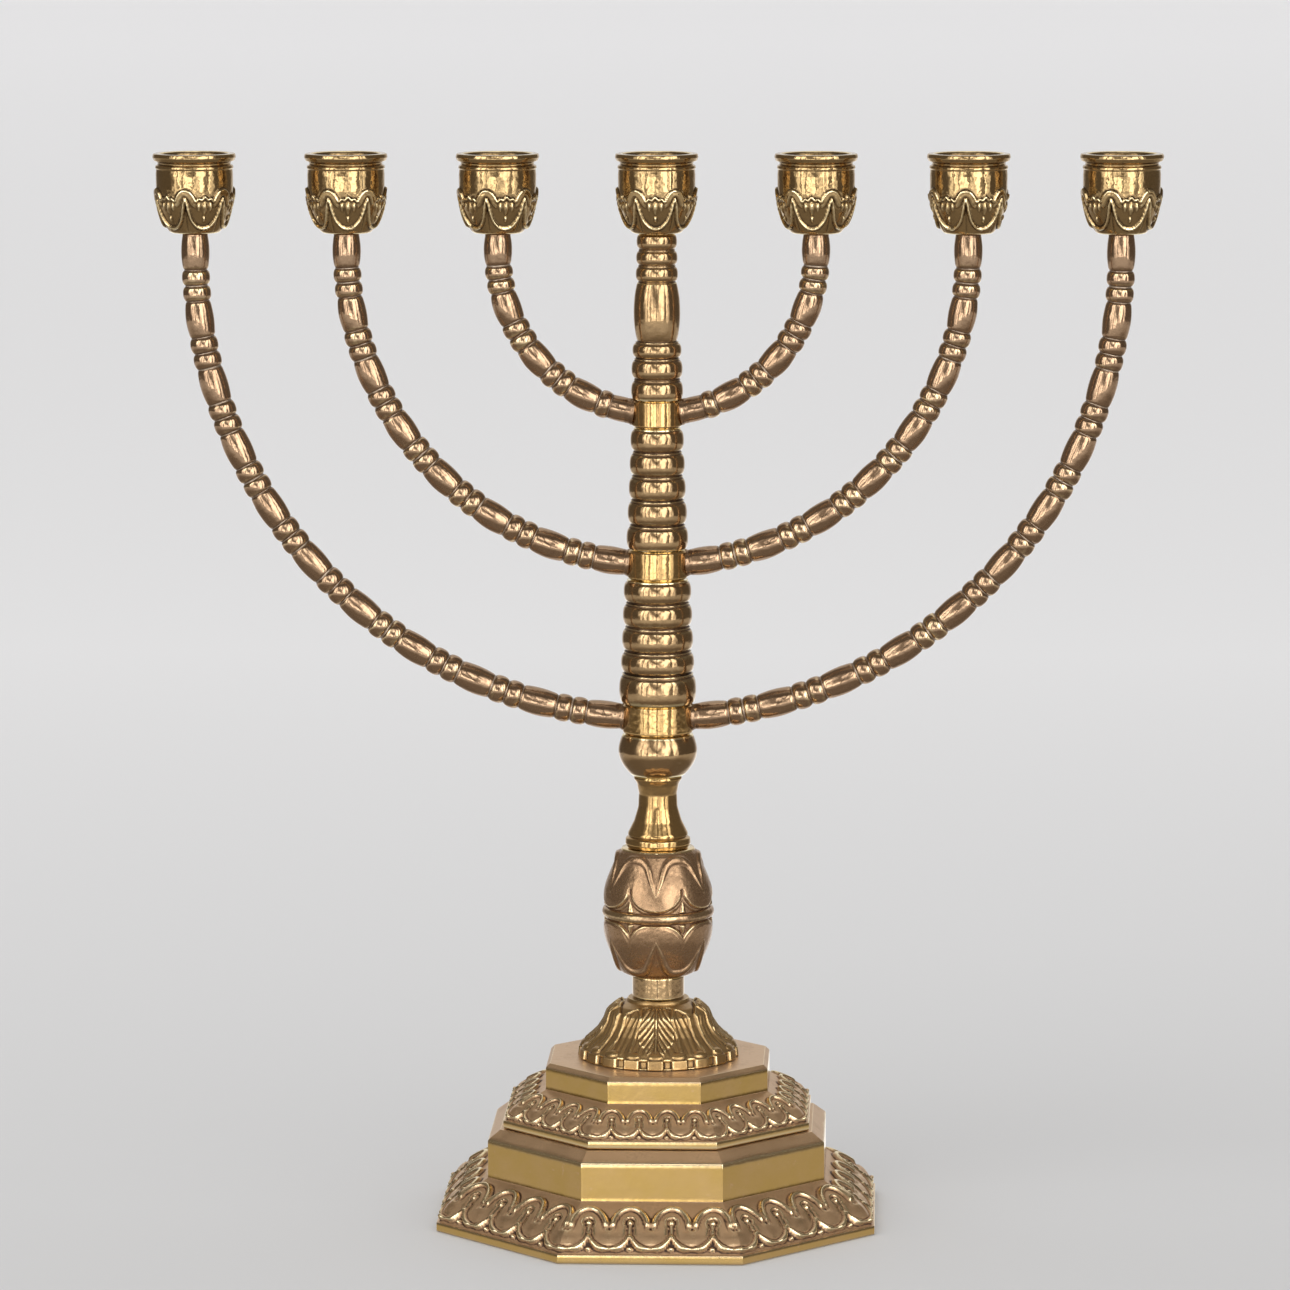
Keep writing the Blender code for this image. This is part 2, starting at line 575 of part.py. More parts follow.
def screw_mesh(cutters):
    """A slotted cheese-head screw: its head's underside is at z = 0."""
    tip = ARM_TOP - SCREW_GRIP - SCREW_HEAD_BOTTOM
    outline = [(0, SCREW_HEAD_HEIGHT), (SCREW_HEAD_R, SCREW_HEAD_HEIGHT), (SCREW_HEAD_R, 0),
               (SCREW_R, 0), (SCREW_R, tip), (0, tip)]
    screw = turned("cup_screw", outline, cutters, sides=HARDWARE_SIDES, closed=False)
    slot_shape = bmesh.new()
    bmesh.ops.create_cube(slot_shape, size=1.0)
    slot = bpy.data.meshes.new("screw_slot")
    slot_shape.to_mesh(slot)
    slot_shape.free()
    slot.transform(Matrix.Diagonal((3 * SCREW_HEAD_R, SCREW_SLOT_WIDTH, 2 * SCREW_SLOT_DEPTH, 1)))
    slot.transform(Matrix.Translation((0, 0, SCREW_HEAD_HEIGHT)))
    boolean(screw, as_cutter(link("screw_slot", slot, cutters)))
    mesh = settle(screw)
    bpy.data.objects.remove(screw, do_unlink=True)
    return mesh


def hex_nut(name, bottom, height, collection, cutters):
    nut = cylinder(name, NUT_CORNER_R, bottom, bottom + height, collection, sides=6)
    drill = as_cutter(cylinder(f"{name}_drill", ROD_BORE_R, bottom - height,
                               bottom + 2 * height, cutters))
    boolean(nut, drill)
    settle(nut)
    return nut


# ---------------------------------------------------------------- assembly

def build_stem(parts, cutters):
    pieces = [lower_casting(parts, cutters), upper_casting(parts, cutters)]
    for turned_piece in (acanthus_dome, neck_sleeve, egg_knop, vase_neck, stem_ball):
        pieces.append(turned_piece(parts))
    pieces.append(spacer("lower_spacer", LOWER_BEADS, LOWER_SPACER_BOTTOM, parts))
    pieces.append(spacer("middle_spacer", MIDDLE_BEADS, MIDDLE_SPACER_BOTTOM, parts))
    pieces.append(upper_spacer(parts))
    for piece in pieces[2:]:
        settle(piece)
    cup = cup_mesh("centre_cup", ROD_BORE_R, NUT_CORNER_R + SPANNER_ROOM, NUT_RECESS_DEPTH,
                   cutters)
    centre_cup = link("centre_cup", cup, parts)
    centre_cup.location.z = CUP_BOTTOM
    rod_top = TOP_NUT_BOTTOM + TOP_NUT_HEIGHT + TOP_ROD_PROUD
    rod_bottom = BASE_NUT_TOP - BASE_NUT_HEIGHT - BASE_ROD_PROUD
    rod = cylinder("tie_rod", ROD_R, rod_bottom, rod_top, parts)
    settle(rod)
    top_nut = hex_nut("top_nut", TOP_NUT_BOTTOM, TOP_NUT_HEIGHT, parts, cutters)
    base_nut = hex_nut("base_nut", BASE_NUT_TOP - BASE_NUT_HEIGHT, BASE_NUT_HEIGHT, parts,
                       cutters)
    washer_outside = [(WASHER_R, WASHER_TOP), (WASHER_R, WASHER_TOP - WASHER_THICKNESS)]
    washer = turned("base_washer", bored(washer_outside, ROD_BORE_R), parts)
    settle(washer)
    for piece in pieces + [centre_cup]:
        give_material(piece)
    for piece in (rod, top_nut, base_nut, washer):
        give_material(piece, STEEL, 0.4)


def build_tier(tier, hub_r, hub_bottom, hub_height, reach, straight, pattern, cup, screw,
               parts, cutters):
    """A hub, its two arms, their cups and screws, on an empty at the hub's centre."""
    middle = hub_bottom + hub_height / 2
    rise = ARM_TOP - middle
    swivel = link(f"{tier}_tier_swivel", None, parts)
    swivel.location.z = middle
    collar = hub(f"{tier}_hub", hub_r, hub_height, parts, cutters)
    collar.parent = swivel
    give_material(collar)
    arm = arm_mesh(f"{tier}_arm", reach, rise, straight, hub_r, pattern, cutters)
    for side, turn in (("left", math.pi), ("right", 0.0)):
        across = reach * math.cos(turn)
        pieces = (link(f"{tier}_arm_{side}", arm.copy(), parts),
                  link(f"{tier}_cup_{side}", cup.copy(), parts),
                  link(f"{tier}_cup_screw_{side}", screw.copy(), parts))
        heights = (0.0, CUP_BOTTOM - middle, SCREW_HEAD_BOTTOM - middle)
        for piece, height in zip(pieces, heights):
            piece.parent = swivel
            piece.location = (0.0 if height == 0.0 else across, 0.0, height)
        pieces[0].rotation_euler.z = turn
        give_material(pieces[0])
        give_material(pieces[1])
        give_material(pieces[2], STEEL, 0.4)


def main():
    clear_scene()
    parts = new_collection("menorah")
    cutters = new_collection("cutters", hidden=True)
    build_stem(parts, cutters)
    cup = cup_mesh("side_cup", SCREW_BORE_R, SCREW_HEAD_R + BORE_CLEARANCE,
                   SCREW_RECESS_DEPTH, cutters)
    screw = screw_mesh(cutters)
    build_tier("lower", LOWER_HUB_R, LOWER_HUB_BOTTOM, LOWER_HUB_HEIGHT, OUTER_REACH,
               OUTER_STRAIGHT, OUTER_PATTERN, cup, screw, parts, cutters)
    build_tier("middle", MIDDLE_HUB_R, MIDDLE_HUB_BOTTOM, MIDDLE_HUB_HEIGHT, MIDDLE_REACH,
               MIDDLE_STRAIGHT, MIDDLE_PATTERN, cup, screw, parts, cutters)
    build_tier("upper", UPPER_HUB_R, UPPER_HUB_BOTTOM, UPPER_HUB_HEIGHT, INNER_REACH,
               INNER_STRAIGHT, INNER_PATTERN, cup, screw, parts, cutters)


main()
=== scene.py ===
"""A seven-branched brass menorah: cast and turned brass pieces threaded on one tie rod.

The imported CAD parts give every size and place. Each section makes the fine surface of one
piece, or of one group of like pieces, from the foot up. Metres throughout.
"""

import math

import bpy
import numpy as np
from mathutils import Matrix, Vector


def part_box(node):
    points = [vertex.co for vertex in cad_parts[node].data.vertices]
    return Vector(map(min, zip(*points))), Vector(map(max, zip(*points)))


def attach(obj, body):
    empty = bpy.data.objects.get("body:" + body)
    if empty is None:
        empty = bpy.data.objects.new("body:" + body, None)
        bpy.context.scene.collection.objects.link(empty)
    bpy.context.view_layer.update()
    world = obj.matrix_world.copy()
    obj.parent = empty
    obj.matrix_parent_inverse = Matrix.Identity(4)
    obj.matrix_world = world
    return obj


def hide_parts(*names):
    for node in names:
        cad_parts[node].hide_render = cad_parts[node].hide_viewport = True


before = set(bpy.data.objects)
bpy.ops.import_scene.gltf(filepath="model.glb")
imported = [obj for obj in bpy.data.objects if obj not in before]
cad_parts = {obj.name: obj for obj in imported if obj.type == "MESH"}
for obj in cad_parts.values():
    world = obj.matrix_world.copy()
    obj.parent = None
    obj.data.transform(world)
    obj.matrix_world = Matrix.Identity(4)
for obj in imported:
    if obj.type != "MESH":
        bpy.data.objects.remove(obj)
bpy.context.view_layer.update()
MM = 0.001


# ------------------------------------------------------------------ camera
# A long lens from a little above the middle arms, a touch to the right of the front.

camera_data = bpy.data.cameras.new("camera")
camera_data.lens = 165.0
camera_data.sensor_width = 36.0
camera = bpy.data.objects.new("camera", camera_data)
bpy.context.scene.collection.objects.link(camera)
bpy.context.scene.camera = camera
camera.location = (0.0777, -1.9545, 0.4786)
CAMERA_TURN = math.radians(2.40)
CAMERA_PITCH = math.radians(8.28)
CAMERA_ROLL = math.radians(-0.13)
facing = (Matrix.Rotation(CAMERA_TURN, 4, "Z") @ Matrix.Rotation(math.pi / 2 - CAMERA_PITCH, 4, "X")
          @ Matrix.Rotation(CAMERA_ROLL, 4, "Z"))
camera.rotation_euler = facing.to_euler()


# ------------------------------------------------------------------ studio
# A pale floor that runs out of sight, under even light, with the falloff of the light painted into
# its colour. What the brass mirrors is a studio:
# a broad window wall in front, dark sides, a pale wall behind and a dim ceiling.

def linear(hex_colour):
    """An sRGB hex colour as Blender's linear one."""
    channels = [int(hex_colour[i:i + 2], 16) / 255 for i in (1, 3, 5)]
    return tuple(c / 12.92 if c <= 0.04045 else ((c + 0.055) / 1.055) ** 2.4
                 for c in channels) + (1.0,)


def add(tree, kind, inputs=None, **settings):
    """Adds a node with its settings, values and links. A node given as an input stands for its
    first output."""
    node = tree.nodes.new(kind)
    for name, value in settings.items():
        setattr(node, name, value)
    for socket, value in (inputs or {}).items():
        if isinstance(value, bpy.types.Node):
            value = value.outputs[0]
        if isinstance(value, bpy.types.NodeSocket):
            tree.links.new(value, node.inputs[socket])
        else:
            node.inputs[socket].default_value = value
    return node


bpy.context.scene.view_settings.view_transform = "Standard"
world = bpy.data.worlds.new("studio")
bpy.context.scene.world = world
world.use_nodes = True
sky = world.node_tree
sky.nodes.clear()
place = add(sky, "ShaderNodeTexCoord").outputs["Generated"]
direction = add(sky, "ShaderNodeSeparateXYZ", {0: place})
front = add(sky, "ShaderNodeMath", {0: direction.outputs["Y"], 1: -1.0}, operation="MULTIPLY")
bearing = add(sky, "ShaderNodeMath", {0: direction.outputs["X"], 1: front}, operation="ARCTAN2")
bearing = add(sky, "ShaderNodeMath", {0: bearing}, operation="DEGREES")
aside = add(sky, "ShaderNodeMath", {0: bearing}, operation="ABSOLUTE")
rise = add(sky, "ShaderNodeMath", {0: direction.outputs["Z"]}, operation="ARCSINE")
rise = add(sky, "ShaderNodeMath", {0: rise}, operation="DEGREES")

# The window wall: panes between thin dark bars, with streaks of brighter and dimmer glass.
panes = add(sky, "ShaderNodeMapRange",
            {"Value": aside, "From Min": 56.0, "From Max": 68.0, "To Min": 1.0, "To Max": 0.0},
            interpolation_type="SMOOTHSTEP")
panes_foot = add(sky, "ShaderNodeMapRange", {"Value": rise, "From Min": -11.5, "From Max": -9.0},
                 interpolation_type="SMOOTHSTEP")
panes_head = add(sky, "ShaderNodeMapRange",
                 {"Value": rise, "From Min": 28.0, "From Max": 50.0, "To Min": 1.0,
                  "To Max": 0.0}, interpolation_type="SMOOTHSTEP")
bars = add(sky, "ShaderNodeMath", {0: bearing, 1: 23.0}, operation="PINGPONG")
bars = add(sky, "ShaderNodeMapRange",
           {"Value": bars, "From Min": 1.5, "From Max": 3.5, "To Min": 0.03, "To Max": 1.0})
streaks = add(sky, "ShaderNodeMath", {0: rise, 1: 0.4}, operation="MULTIPLY")
streaks = add(sky, "ShaderNodeCombineXYZ", {"X": bearing, "Z": streaks})
streaks = add(sky, "ShaderNodeTexNoise", {"Vector": streaks, "Scale": 0.055, "Detail": 3.0,
                                          "Roughness": 0.55})
streaks = add(sky, "ShaderNodeMapRange",
              {"Value": streaks, "From Min": 0.42, "From Max": 0.58, "To Min": 0.3,
               "To Max": 4.2}, interpolation_type="SMOOTHSTEP")
window = streaks
for mask in (panes, panes_foot, panes_head, bars):
    window = add(sky, "ShaderNodeMath", {0: window, 1: mask}, operation="MULTIPLY")
# The table top is paler in front than at the sides, and dimmer close to the foot.
table = add(sky, "ShaderNodeMapRange",
            {"Value": rise, "From Min": -11.5, "From Max": -9.0, "To Min": 1.0, "To Max": 0.0},
            interpolation_type="SMOOTHSTEP")
table_near = add(sky, "ShaderNodeMapRange",
                 {"Value": rise, "From Min": -33.0, "From Max": -14.0, "To Min": 0.20,
                  "To Max": 1.0}, interpolation_type="SMOOTHSTEP")
table_front = add(sky, "ShaderNodeMapRange",
                  {"Value": aside, "From Min": 35.0, "From Max": 80.0, "To Min": 0.78,
                   "To Max": 0.52}, interpolation_type="SMOOTHSTEP")
for part in (table_near, table_front):
    table = add(sky, "ShaderNodeMath", {0: table, 1: part}, operation="MULTIPLY")
ceiling = add(sky, "ShaderNodeMapRange",
              {"Value": rise, "From Min": 62.0, "From Max": 84.0, "To Min": 0.0,
               "To Max": 0.34}, interpolation_type="SMOOTHSTEP")
back_wall = add(sky, "ShaderNodeMapRange",
                {"Value": aside, "From Min": 138.0, "From Max": 162.0, "To Min": 0.0,
                 "To Max": 0.62}, interpolation_type="SMOOTHSTEP")
mirrored = window
for light in (table, ceiling, back_wall, 0.16):
    mirrored = add(sky, "ShaderNodeMath", {0: mirrored, 1: light}, operation="ADD")
rays = add(sky, "ShaderNodeLightPath")
strength = add(sky, "ShaderNodeMix",
               {"Factor": rays.outputs["Is Glossy Ray"], 2: 0.80, 3: mirrored},
               data_type="FLOAT")
# The dim parts of the room are warm, the window and the pale walls are white.
whiteness = add(sky, "ShaderNodeMapRange", {"Value": strength, "From Min": 0.1, "From Max": 0.8})
tone = add(sky, "ShaderNodeMix", {"Factor": whiteness, 6: linear("#F7E4CE"), 7: linear("#FFFEFC")},
           data_type="RGBA")
background = add(sky, "ShaderNodeBackground", {"Color": tone.outputs[2], "Strength": strength})
add(sky, "ShaderNodeOutputWorld", {"Surface": background})

FLOOR_REACH = 60.0
floor_mesh = bpy.data.meshes.new("floor")
corners = [(x, y, 0.0) for x, y in ((-1, -1), (1, -1), (1, 1), (-1, 1))]
floor_mesh.from_pydata([(x * FLOOR_REACH, y * FLOOR_REACH, z) for x, y, z in corners], [],
                       [(0, 1, 2, 3)])
floor = bpy.data.objects.new("floor", floor_mesh)
floor.location.z = -0.2 * MM
floor.visible_glossy = False
bpy.context.scene.collection.objects.link(floor)
# Matt backdrop paper with painted shade: its colour is darker in front of the foot and paler further
# back, where the studio light would fall off.
paper = bpy.data.materials.new("matt_backdrop_paper_painted_falloff")
paper.use_nodes = True
tree = paper.node_tree
depth = add(tree, "ShaderNodeSeparateXYZ",
            {0: add(tree, "ShaderNodeTexCoord").outputs["Object"]}).outputs["Y"]
# Painted shade and light: the paper's colour runs from darker near the foot to paler far behind.
near = add(tree, "ShaderNodeMapRange", {"Value": depth, "From Min": -0.3, "From Max": 1.3})
far = add(tree, "ShaderNodeMapRange", {"Value": depth, "From Min": 1.3, "From Max": 9.0})
tint = add(tree, "ShaderNodeMix", {"Factor": near, 6: linear("#CBCBCC"), 7: linear("#F1F1F3")},
           data_type="RGBA")
tint = add(tree, "ShaderNodeMix", {"Factor": far, 6: tint.outputs[2], 7: linear("#FCFCFF")},
           data_type="RGBA")
shader = tree.nodes["Principled BSDF"]
tree.links.new(tint.outputs[2], shader.inputs["Base Color"])
shader.inputs["Roughness"].default_value = 0.9
shader.inputs["Specular IOR Level"].default_value = 0.1
floor_mesh.materials.append(paper)

softbox_light = bpy.data.lights.new("softbox", "AREA")
softbox_light.shape = "RECTANGLE"
softbox_light.size = 1.6
softbox_light.size_y = 1.0
softbox_light.energy = 9.0
softbox = bpy.data.objects.new("softbox", softbox_light)
softbox.location = (-0.5, -0.9, 1.7)
softbox.rotation_euler = (math.radians(32), math.radians(-12), 0)
softbox.visible_glossy = False
softbox.visible_camera = False
bpy.context.scene.collection.objects.link(softbox)


# ------------------------------------------------------------------ lower base casting
# An eight-sided sand casting in brass, hollow underneath, that stands on its foot rim. The
# foot rim and the upright band are filed flat and polished; between them runs a cast scroll
# band whose hollows keep their brown patina.

CORNER_POINTS = 4


def outline(corners):
    """Points along (radius, height, rounding, step) corners, and which straight each is on.

    The rounding is the corner's own fillet, and the step is the spacing on the way to the next
    corner."""
    count = len(corners)
    entries, exits = [], []
    for i, (r, z, rounding, step) in enumerate(corners):
        here = np.array((r, z))
        before = np.array(corners[i - 1][:2]) if i else here
        after = np.array(corners[i + 1][:2]) if i < count - 1 else here
        back, on = before - here, after - here
        short = min(np.hypot(*back), np.hypot(*on))
        if rounding == 0 or short == 0:
            entries.append(here)
            exits.append(here)
            continue
        back, on = back / np.hypot(*back), on / np.hypot(*on)
        turn = math.acos(max(-1.0, min(1.0, -float(back @ on))))
        reach = min(rounding * math.tan(turn / 2), 0.45 * short)
        entries.append(here + back * reach)
        exits.append(here + on * reach)
    points, straights = [], []
    for i in range(count):
        here = np.array(corners[i][:2])
        if np.allclose(entries[i], exits[i]):
            points.append(here)
            straights.append(i)
        else:
            for t in np.linspace(0, 1, CORNER_POINTS):
                points.append((1 - t) ** 2 * entries[i] + 2 * t * (1 - t) * here
                              + t ** 2 * exits[i])
                straights.append(-1)
        if i < count - 1:
            gap = entries[i + 1] - exits[i]
            cuts = max(1, int(math.ceil(np.hypot(*gap) / corners[i][3])))
            for k in range(1, cuts):
                points.append(exits[i] + gap * k / cuts)
                straights.append(i)
    return np.array(points), np.array(straights)


def normals_of(points):
    """Outward normals of an outline that runs down the outside, as (radius, height)."""
    along = np.gradient(points, axis=0)
    out = np.stack([-along[:, 1], along[:, 0]], axis=1)
    return out / np.maximum(np.hypot(out[:, 0], out[:, 1]), 1e-9)[:, None]


def spread(values, passes, axis, wrap):
    """Averages each point with its neighbours along one axis, as many times as asked."""
    for _ in range(passes):
        before, after = np.roll(values, 1, axis), np.roll(values, -1, axis)
        if not wrap:
            first, last = [slice(None)] * values.ndim, [slice(None)] * values.ndim
            first[axis], last[axis] = 0, -1
            before[tuple(first)], after[tuple(last)] = values[tuple(first)], values[tuple(last)]
        values = (before + 2 * values + after) / 4
    return values


def wear_of(grid, row_passes, column_passes, wrap_rows, full):
    """0 in hollows, half on plain surfaces and 1 on edges that stand proud by full or more."""
    down = np.roll(grid, -1, 0) - np.roll(grid, 1, 0)
    if not wrap_rows:
        down[0], down[-1] = grid[1] - grid[0], grid[-1] - grid[-2]
    across = np.roll(grid, -1, 1) - np.roll(grid, 1, 1)
    normal = np.cross(down, across)
    normal /= np.maximum(np.linalg.norm(normal, axis=2, keepdims=True), 1e-12)
    smoothed = spread(spread(grid, row_passes, 0, wrap_rows), column_passes, 1, True)
    proud = ((grid - smoothed) * normal).sum(axis=2)
    return np.clip(0.5 + proud / (2 * full), 0, 1)


def surface(name, grid, material, wear, polish, wrap_rows=True, caps=False):
    """A closed piece from a grid of points: rows run down it, columns run round it. caps closes
    its two ends."""
    rows, columns = grid.shape[:2]
    index = np.arange(rows * columns).reshape(rows, columns)
    low = np.roll(index, -1, 0) if wrap_rows else index[1:]
    high = index if wrap_rows else index[:-1]
    quads = np.stack([high, low, np.roll(low, -1, 1), np.roll(high, -1, 1)], axis=2)
    faces = quads.reshape(-1, 4).tolist()
    if caps:
        faces += [index[0].tolist(), index[-1][::-1].tolist()]
    mesh = bpy.data.meshes.new(name)
    mesh.from_pydata(grid.reshape(-1, 3).tolist(), [], faces)
    mesh.shade_smooth()
    for label, values in (("wear", wear), ("polish", polish)):
        layer = mesh.attributes.new(label, "FLOAT", "POINT")
        values = np.broadcast_to(values, (rows, columns)).reshape(-1)
        layer.data.foreach_set("value", np.ascontiguousarray(values, np.float32))
    mesh.materials.append(material)
    piece = bpy.data.objects.new(name, mesh)
    bpy.context.scene.collection.objects.link(piece)
    return piece


def brass(name, deep, hollow, plain, edge, polished, rough, grain_mm, ripple, film):
    """Brass coloured by wear: what lies in the deepest grooves, patina in hollows, a satin
    plain surface, bright worn edges, and a colour of its own where it was filed flat.

    rough is the roughness in hollows, on plain surfaces, on edges and where polished, grain_mm
    the size of the casting's skin, ripple how wavy the polishing left it, and film how much
    of a matt tarnish covers the hollows."""
    material = bpy.data.materials.new(name)
    material.use_nodes = True
    tree = material.node_tree
    shader = tree.nodes["Principled BSDF"]
    place = add(tree, "ShaderNodeTexCoord").outputs["Object"]
    wear = add(tree, "ShaderNodeAttribute", attribute_name="wear").outputs["Fac"]
    polish = add(tree, "ShaderNodeAttribute", attribute_name="polish").outputs["Fac"]
    cloud = add(tree, "ShaderNodeTexNoise",
                {"Vector": place, "Scale": 1 / (11 * MM), "Detail": 5.0, "Roughness": 0.6})
    skin = add(tree, "ShaderNodeTexNoise",
               {"Vector": place, "Scale": 1 / (grain_mm * MM), "Detail": 3.0})
    tarnish = add(tree, "ShaderNodeMapRange",
                  {"Value": cloud, "From Min": 0.3, "From Max": 0.7, "To Min": -0.09,
                   "To Max": 0.09})
    flecks = add(tree, "ShaderNodeMapRange",
                 {"Value": skin, "From Min": 0.3, "From Max": 0.7, "To Min": -0.06,
                  "To Max": 0.06})
    worn = add(tree, "ShaderNodeMath", {0: wear, 1: tarnish}, operation="ADD")
    worn = add(tree, "ShaderNodeMath", {0: worn, 1: flecks}, operation="ADD")
    colour = add(tree, "ShaderNodeValToRGB", {"Fac": worn})
    satin = add(tree, "ShaderNodeValToRGB", {"Fac": worn})
    tones = (linear(hollow), linear(plain), linear(edge))
    greys = [(value, value, value, 1.0) for value in rough[:3]]
    for ramp, stops in ((colour, tones), (satin, greys)):
        elements = ramp.color_ramp.elements
        elements[0].position, elements[0].color = 0.16, stops[0]
        elements[1].position, elements[1].color = 0.50, stops[1]
        elements.new(0.60).color = stops[1]
        elements.new(0.84).color = stops[2]
    colour.color_ramp.elements.new(0.04).color = linear(deep)
    # The polished flats: even gold with faint darker clouds and a few small dark specks.
    pits = add(tree, "ShaderNodeTexNoise",
               {"Vector": place, "Scale": 1 / (1.7 * MM), "Detail": 1.0})
    pits = add(tree, "ShaderNodeMapRange",
               {"Value": pits, "From Min": 0.71, "From Max": 0.75, "To Min": 0.0, "To Max": 0.6})
    dulled = add(tree, "ShaderNodeMapRange",
                 {"Value": cloud, "From Min": 0.35, "From Max": 0.75, "To Min": 0.0,
                  "To Max": 0.35})
    dulled = add(tree, "ShaderNodeMath", {0: dulled, 1: pits}, operation="MAXIMUM")
    gold = add(tree, "ShaderNodeMix",
               {"Factor": dulled, 6: linear(polished), 7: linear(plain)}, data_type="RGBA")
    rubbed = add(tree, "ShaderNodeMapRange", {"Value": wear, "From Min": 0.55, "From Max": 0.8})
    gold = add(tree, "ShaderNodeMix",
               {"Factor": rubbed, 6: gold.outputs[2], 7: linear(edge)}, data_type="RGBA")
    mixed = add(tree, "ShaderNodeMix", {"Factor": polish, 6: colour, 7: gold.outputs[2]},
                data_type="RGBA")
    tree.links.new(mixed.outputs[2], shader.inputs["Base Color"])
    roughness = add(tree, "ShaderNodeMix", {"Factor": polish, 2: satin, 3: rough[3]},
                    data_type="FLOAT")
    tree.links.new(roughness.outputs[0], shader.inputs["Roughness"])
    metal = add(tree, "ShaderNodeMapRange",
                {"Value": worn, "From Min": 0.15, "From Max": 0.70, "To Min": 1.0 - film,
                 "To Max": 1.0})
    metal = add(tree, "ShaderNodeMath", {0: metal, 1: polish}, operation="MAXIMUM")
    tree.links.new(metal.outputs[0], shader.inputs["Metallic"])
    depth = add(tree, "ShaderNodeMath", {0: polish, 1: -0.30}, operation="MULTIPLY")
    depth = add(tree, "ShaderNodeMath", {0: depth, 1: 0.35}, operation="ADD")
    bump = add(tree, "ShaderNodeBump",
               {"Height": skin, "Strength": depth, "Distance": 0.06 * MM})
    waves = add(tree, "ShaderNodeTexNoise",
                {"Vector": place, "Scale": 1 / (2.4 * MM), "Detail": 1.5})
    depth = add(tree, "ShaderNodeMath", {0: polish, 1: -0.85 * ripple}, operation="MULTIPLY")
    depth = add(tree, "ShaderNodeMath", {0: depth, 1: ripple}, operation="ADD")
    bump = add(tree, "ShaderNodeBump", {"Height": waves, "Strength": depth,
                                        "Distance": 0.35 * MM, "Normal": bump})
    tree.links.new(bump.outputs[0], shader.inputs["Normal"])
    return material


def smooth(value, start, end):
    """Runs smoothly from 0 to 1 as the value goes from start to end."""
    t = np.clip((value - start) / (end - start), 0, 1)
    return t * t * (3 - 2 * t)


def tube(distance, half_width):
    """The height of a round ridge: 1 along its middle, 0 from half_width outwards."""
    return np.sqrt(np.clip(1 - (distance / half_width) ** 2, 0, 1))


def curve(points, cuts=14):
    """A smooth line through points."""
    points = np.array(points, float)
    ends = np.concatenate([[2 * points[0] - points[1]], points, [2 * points[-1] - points[-2]]])
    t = np.linspace(0, 1, cuts, endpoint=False)[:, None]
    pieces = []
    for a, b, c, d in zip(ends, ends[1:], ends[2:], ends[3:]):
        pieces.append(0.5 * (2 * b + (c - a) * t + (2 * a - 5 * b + 4 * c - d) * t ** 2
                             + (3 * b - a - 3 * c + d) * t ** 3))
    return np.concatenate(pieces + [points[-1:]])


def nearest(x, y, line):
    """How far each point is from a line."""
    best = np.full(np.broadcast(x, y).shape, np.inf)
    for px, py in line:
        best = np.minimum(best, np.hypot(x - px, y - py))
    return best


SCROLL_PITCH = 13.5
SCROLL_TALL = 18.9


